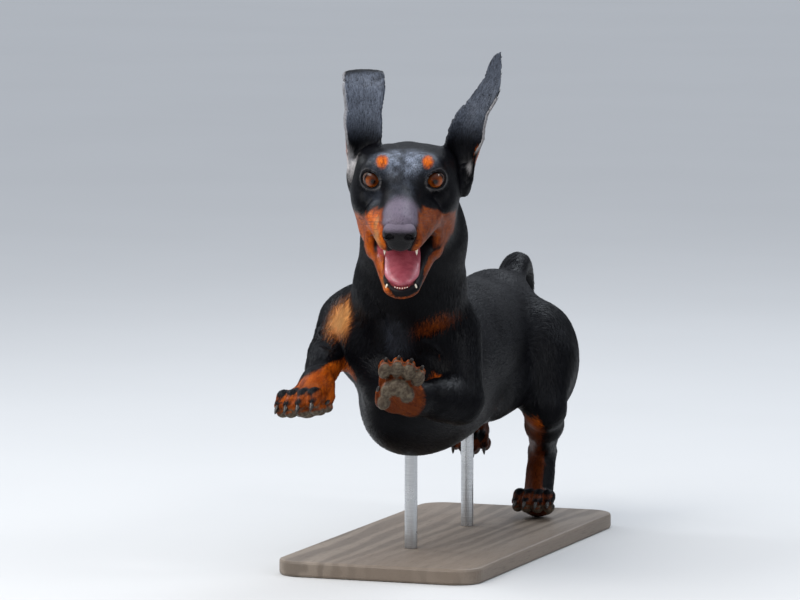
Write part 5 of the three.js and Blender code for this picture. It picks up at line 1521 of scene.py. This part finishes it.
coat_material = coat_paint()
skin_piece, skin = make_dog_skin(coat_material)
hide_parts(*FLESH)
for coat_piece in make_coat(skin, coat_material):
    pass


# Eyes: a globe with its clear front standing a little proud
GLOBE = {"rings": 40, "sides": 64, "inset": 0.45, "bulge": 0.75, "bulge_angle": 0.62}


def make_eye(name, side, gaze, material):
    rings, sides = GLOBE["rings"], GLOBE["sides"]
    looks = head.way(unit(gaze))
    across = unit(np.cross(head.axes[2], looks))
    up = np.cross(looks, across)
    angle = np.linspace(0, math.pi, rings + 1)[1:-1]
    turn = np.arange(sides) * 2 * math.pi / sides
    local = np.stack([np.outer(np.sin(angle), np.cos(turn)), np.outer(np.sin(angle), np.sin(turn)),
                      np.repeat(np.cos(angle)[:, None], sides, 1)], -1).reshape(-1, 3)
    local = np.concatenate([vec(0, 0, 1)[None], local, vec(0, 0, -1)[None]])
    off_gaze = np.arccos(np.clip(local[:, 2], -1, 1))
    bulge = GLOBE["bulge"] * np.exp(-(off_gaze / GLOBE["bulge_angle"]) ** 2)
    radius = EYE["radius"] - GLOBE["inset"] + bulge
    x, y, z = EYE["at"]
    points = head.out((side * x, y, z)) + (local * radius[:, None]) @ np.array([across, up, looks])
    last, last_ring = len(local) - 1, 1 + (rings - 2) * sides
    faces = []
    for i in range(sides):
        j = (i + 1) % sides
        faces.append((0, 1 + i, 1 + j))
        faces.append((last, last_ring + j, last_ring + i))
        for ring in range(rings - 2):
            a, b = 1 + ring * sides + i, 1 + ring * sides + j
            faces += [(a, a + sides, b + sides), (a, b + sides, b)]
    piece = new_piece(name, points, faces, material)
    give_vector(piece, "gaze", local)
    return piece


eye_material = eye_paint()
for name, node, side, gaze in (("eyeball_right", "eye_right", -1, (0.02, 1, -0.07)),
                               ("eyeball_left", "eye_left", 1, (0.17, 1, -0.07))):
    eyeball = make_eye(name, side, gaze, eye_material)
    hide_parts(node)


# Nose and tongue: small lumps with a surface of their own
def soft_piece(name, lumps, cell, material):
    low = np.min([l["centre"] - l["reach"] for l in lumps], axis=0) - 2 * cell
    high = np.max([l["centre"] + l["reach"] for l in lumps], axis=0) + 2 * cell
    counts = np.ceil((high - low) / cell).astype(int) + 1
    grid = np.stack(np.meshgrid(*[np.arange(n) for n in counts], indexing="ij"), -1).reshape(-1, 3)

    def level(points):
        return field(lumps, points)

    points, triangles = surface(level(grid * cell + low).reshape(counts), low, cell)
    for _ in range(3):
        points, normals = settled(points, level)
        points = evened(points, triangles, normals, 0.4)
    points, _ = settled(points, level)
    piece = new_piece(name, points, triangles, material)
    give_vector(piece, "own", points)
    return piece


tongue_lumps = place(jaw, [
    ball((0, 31, -47), (17, 43, 6)),
    ball((0, 54, -47), (15.5, 21, 5.5), 4),  # its broad tip
    carved(bone((0, 20, -37), 1.6, (0, 70, -37.5), 1.6, 2)),  # groove down its middle
])
nose_piece = soft_piece("nose_pad", nose_lumps, 0.55, nose_paint())
give_number(nose_piece, "rise", head.into(points_of(nose_piece))[:, 2])
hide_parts("nose")
tongue_piece = soft_piece("tongue_soft", tongue_lumps, 1.0, tongue_paint())
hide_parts("tongue")


# Spikes: claws, teeth and whiskers
def spike(root, tip, bend_way, bend, radius, sides, rings, flatten=1.0, power=1.0):
    """A bent tapering rod that ends in a point. It stays thick for longer with a higher power."""
    root, tip = np.asarray(root, float), np.asarray(tip, float)
    way = unit(tip - root)
    aside = unit(np.cross(way, bend_way))
    other = np.cross(way, aside)
    t = np.arange(rings) / rings
    bent = (bend * np.sin(math.pi * t))[:, None] * np.asarray(bend_way, float)
    middle = root + t[:, None] * (tip - root) + bent
    angle = np.arange(sides) * 2 * math.pi / sides
    arm = np.cos(angle)[:, None] * aside * flatten + np.sin(angle)[:, None] * other
    wide = radius * (1 - t ** (2 * power)) ** 0.75
    ring_points = (middle[:, None] + wide[:, None, None] * arm[None]).reshape(-1, 3)
    points = np.concatenate([ring_points, tip[None], root[None]])
    last, first = len(points) - 2, len(points) - 1
    last_ring = (rings - 1) * sides
    faces = []
    for i in range(sides):
        j = (i + 1) % sides
        faces += [(first, j, i), (last, last_ring + i, last_ring + j)]
        for ring in range(rings - 1):
            a, b = ring * sides + i, ring * sides + j
            faces += [(a, b, b + sides), (a, b + sides, a + sides)]
    return points, np.array(faces)


def spikes_piece(name, spikes, material):
    starts = np.cumsum([0] + [len(points) for points, _ in spikes])
    points = np.concatenate([points for points, _ in spikes])
    faces = np.concatenate([faces + start for (_, faces), start in zip(spikes, starts)])
    piece = new_piece(name, points, faces, material)
    give_vector(piece, "own", points)
    return piece


def claws_of(leg):
    s, where = leg["size"], paw_frame(leg)
    made = []
    for across in TOE_ACROSS:
        reach = toe_reach(across) * s
        root = where.out((across * s * 1.1, reach - 1.5, 3.5 * s))
        tip = where.out((across * s * 1.16, reach + 10.6 * s, -2.8 * s))
        made.append(spike(root, tip, where.axes[2], 1.7, 2.7 * s, 16, 10, flatten=0.85, power=1.6))
    if is_fore(leg):  # dew claw
        side = math.copysign(1, leg["paw"][0])
        root, tip = where.out((side * 15, -12 * s, 0)), where.out((side * 17, -1, -3))
        made.append(spike(root, tip, where.axes[0], side, 2.2, 12, 6, power=1.6))
    return made


# How far forward the front teeth stand, how far the fangs stand aside and back from them, the height of the
# gum, and the heights of the teeth over it
LOWER_TEETH = {"front": 78, "fang_aside": 12.5, "fang_back": 5, "gum": -48.6, "front_height": 1.2,
               "fang_height": 1.7, "up": 1}
UPPER_TEETH = {"front": 79, "fang_aside": 14, "fang_back": 9, "gum": -38, "front_height": 3.3,
               "fang_height": 14, "up": -1}


def teeth_of(where, front, fang_aside, fang_back, gum, front_height, fang_height, up):
    made = []

    def tooth(x, y, height, radius):
        tip = where.out((x * 1.04, y, gum + up * height))
        made.append(spike(where.out((x, y, gum - up * 3)), tip, where.axes[1], 0.4, radius, 12, 6))

    for i in range(6):
        t = (i + 0.5) / 3 - 1
        tooth(t * 6.5, front - 2 * t * t, front_height, 1.2)
    for side in (-1, 1):
        tooth(side * fang_aside, front - fang_back, fang_height, 2.0)
    return made


claw_material = plain_paint("claws", (0.8, 4.0, 0.65), (0.008, 0.007, 0.006), (0.050, 0.042, 0.036),
                            (0.0002, 0.4), Roughness=0.32, Specular_IOR_Level=0.3, Coat_Weight=0.2,
                            Coat_Roughness=0.12)
for chain, leg in LEGS.items():
    spikes_piece("claws_" + chain.replace(" ", "_"), claws_of(leg), claw_material)
tooth_material = plain_paint("teeth", (0.5, 3.0), (0.80, 0.74, 0.62), (0.66, 0.55, 0.38), (0.0001, 0.3),
                             Roughness=0.22, Coat_Weight=0.3, Coat_Roughness=0.1)
spikes_piece("teeth_lower", teeth_of(jaw, **LOWER_TEETH), tooth_material)
spikes_piece("teeth_upper", teeth_of(head, **UPPER_TEETH), tooth_material)


def whiskers():
    made = []
    for side in (-1, 1):
        for row in range(3):
            for i in range(5):
                root = vec(side * (13 + 1.5 * row), 76 - 8 * i - 3 * row, -20 - 5 * row)
                value = field(dog, head.out(root)[None])[0]
                way = vec(side * (0.9 + 0.1 * row), -0.15 - 0.12 * i, -0.05 - 0.16 * row)
                way = unit(way + 0.12 * rng.normal(size=3))
                root = head.out(root - way * (value + 1.5))
                tip = root + head.way(way) * rng.uniform(14, 22)
                made.append(spike(root, tip, head.way(vec(0, -0.6, -0.5)), -2.0, 0.13, 4, 6))
    return made


whisker_material = plain_paint("whiskers", (0.4, 2.0), (0.008, 0.007, 0.007), (0.05, 0.042, 0.04),
                               Roughness=0.35)
spikes_piece("whiskers", whiskers(), whisker_material)

# The stand keeps its solids
stand_wood, stand_steel = wood_paint(), steel_paint()
for node, material in (("stand_base", stand_wood), ("stand_rod_front", stand_steel),
                       ("stand_rod_rear", stand_steel)):
    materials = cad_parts[node].data.materials
    materials.clear()
    materials.append(material)

# The room: a pale floor, soft lights and the camera
FLOOR = 300.0  # metres to each side
LIT_PLACE = (0, 0, 0.25)
LIGHTS = (
    # name, azimuth, elevation, distance and size in metres, power in watts, colour
    ("key", -32, 50, 2.2, 1.5, 38, (1.0, 0.97, 0.93)),
    ("spark", 6, 47, 2.2, 0.3, 5, (1, 1, 1)),
    ("strip left", 78, 35, 2.0, 0.35, 7, (1, 1, 1)),
    ("strip right", -105, 35, 2.0, 0.35, 8, (0.9, 0.95, 1.0)),
    ("rim", 168, 45, 2.4, 0.8, 16, (0.85, 0.92, 1.0)),
)
SKY = {"From Min": 0.05, "From Max": 0.75, "To Min": 0.16, "To Max": 1.1}
CAMERA = {"target": (-30, -60, 229.5), "azimuth": 20, "elevation": 6, "distance": 5.869, "lens": 277.7}


def make_floor():
    mesh = bpy.data.meshes.new("floor")
    corners = [(x * FLOOR, y * FLOOR, 0) for x, y in ((-1, -1), (1, -1), (1, 1), (-1, 1))]
    mesh.from_pydata(corners, [], [(0, 1, 2, 3)])
    mesh.materials.append(floor_paint())
    made = new_object("floor", mesh)


def aimed(name, data, target, azimuth, elevation, distance):
    """A lamp or camera that looks at the target. Azimuth 0 is before the dog, 90 at its left side."""
    a, e = math.radians(azimuth), math.radians(elevation)
    way = Vector((math.sin(a) * math.cos(e), -math.cos(a) * math.cos(e), math.sin(e)))
    made = new_object(name, data)
    made.location = Vector(target) + way * distance
    made.rotation_mode = "QUATERNION"
    made.rotation_quaternion = way.to_track_quat("Z", "Y")
    return made


make_floor()
for name, azimuth, elevation, distance, size, power, colour in LIGHTS:
    lamp = bpy.data.lights.new(name, "AREA")
    lamp.size = size
    lamp.energy = power
    lamp.color = colour
    aimed(name, lamp, LIT_PLACE, azimuth, elevation, distance)


def make_sky():
    """Dim near the ground and bright overhead, as under a wide soft lamp."""
    world = bpy.data.worlds.new("room")
    world.use_nodes = True
    tree = world.node_tree
    way = tree.nodes.new("ShaderNodeTexCoord")
    parts = tree.nodes.new("ShaderNodeSeparateXYZ")
    rise = tree.nodes.new("ShaderNodeMapRange")
    tree.links.new(way.outputs["Generated"], parts.inputs[0])
    tree.links.new(parts.outputs[2], rise.inputs["Value"])
    for socket, value in SKY.items():
        rise.inputs[socket].default_value = value
    backdrop = tree.nodes["Background"]
    backdrop.inputs["Color"].default_value = (0.84, 0.90, 1.0, 1)
    tree.links.new(rise.outputs[0], backdrop.inputs["Strength"])
    bpy.context.scene.world = world


make_sky()
bpy.context.scene.view_settings.view_transform = "Standard"

camera = bpy.data.cameras.new("camera")
camera.sensor_width = 36.0
camera.lens = CAMERA["lens"]
camera.clip_end = 1000.0
bpy.context.scene.camera = aimed("camera", camera, in_metres(CAMERA["target"]), CAMERA["azimuth"],
                                 CAMERA["elevation"], CAMERA["distance"])
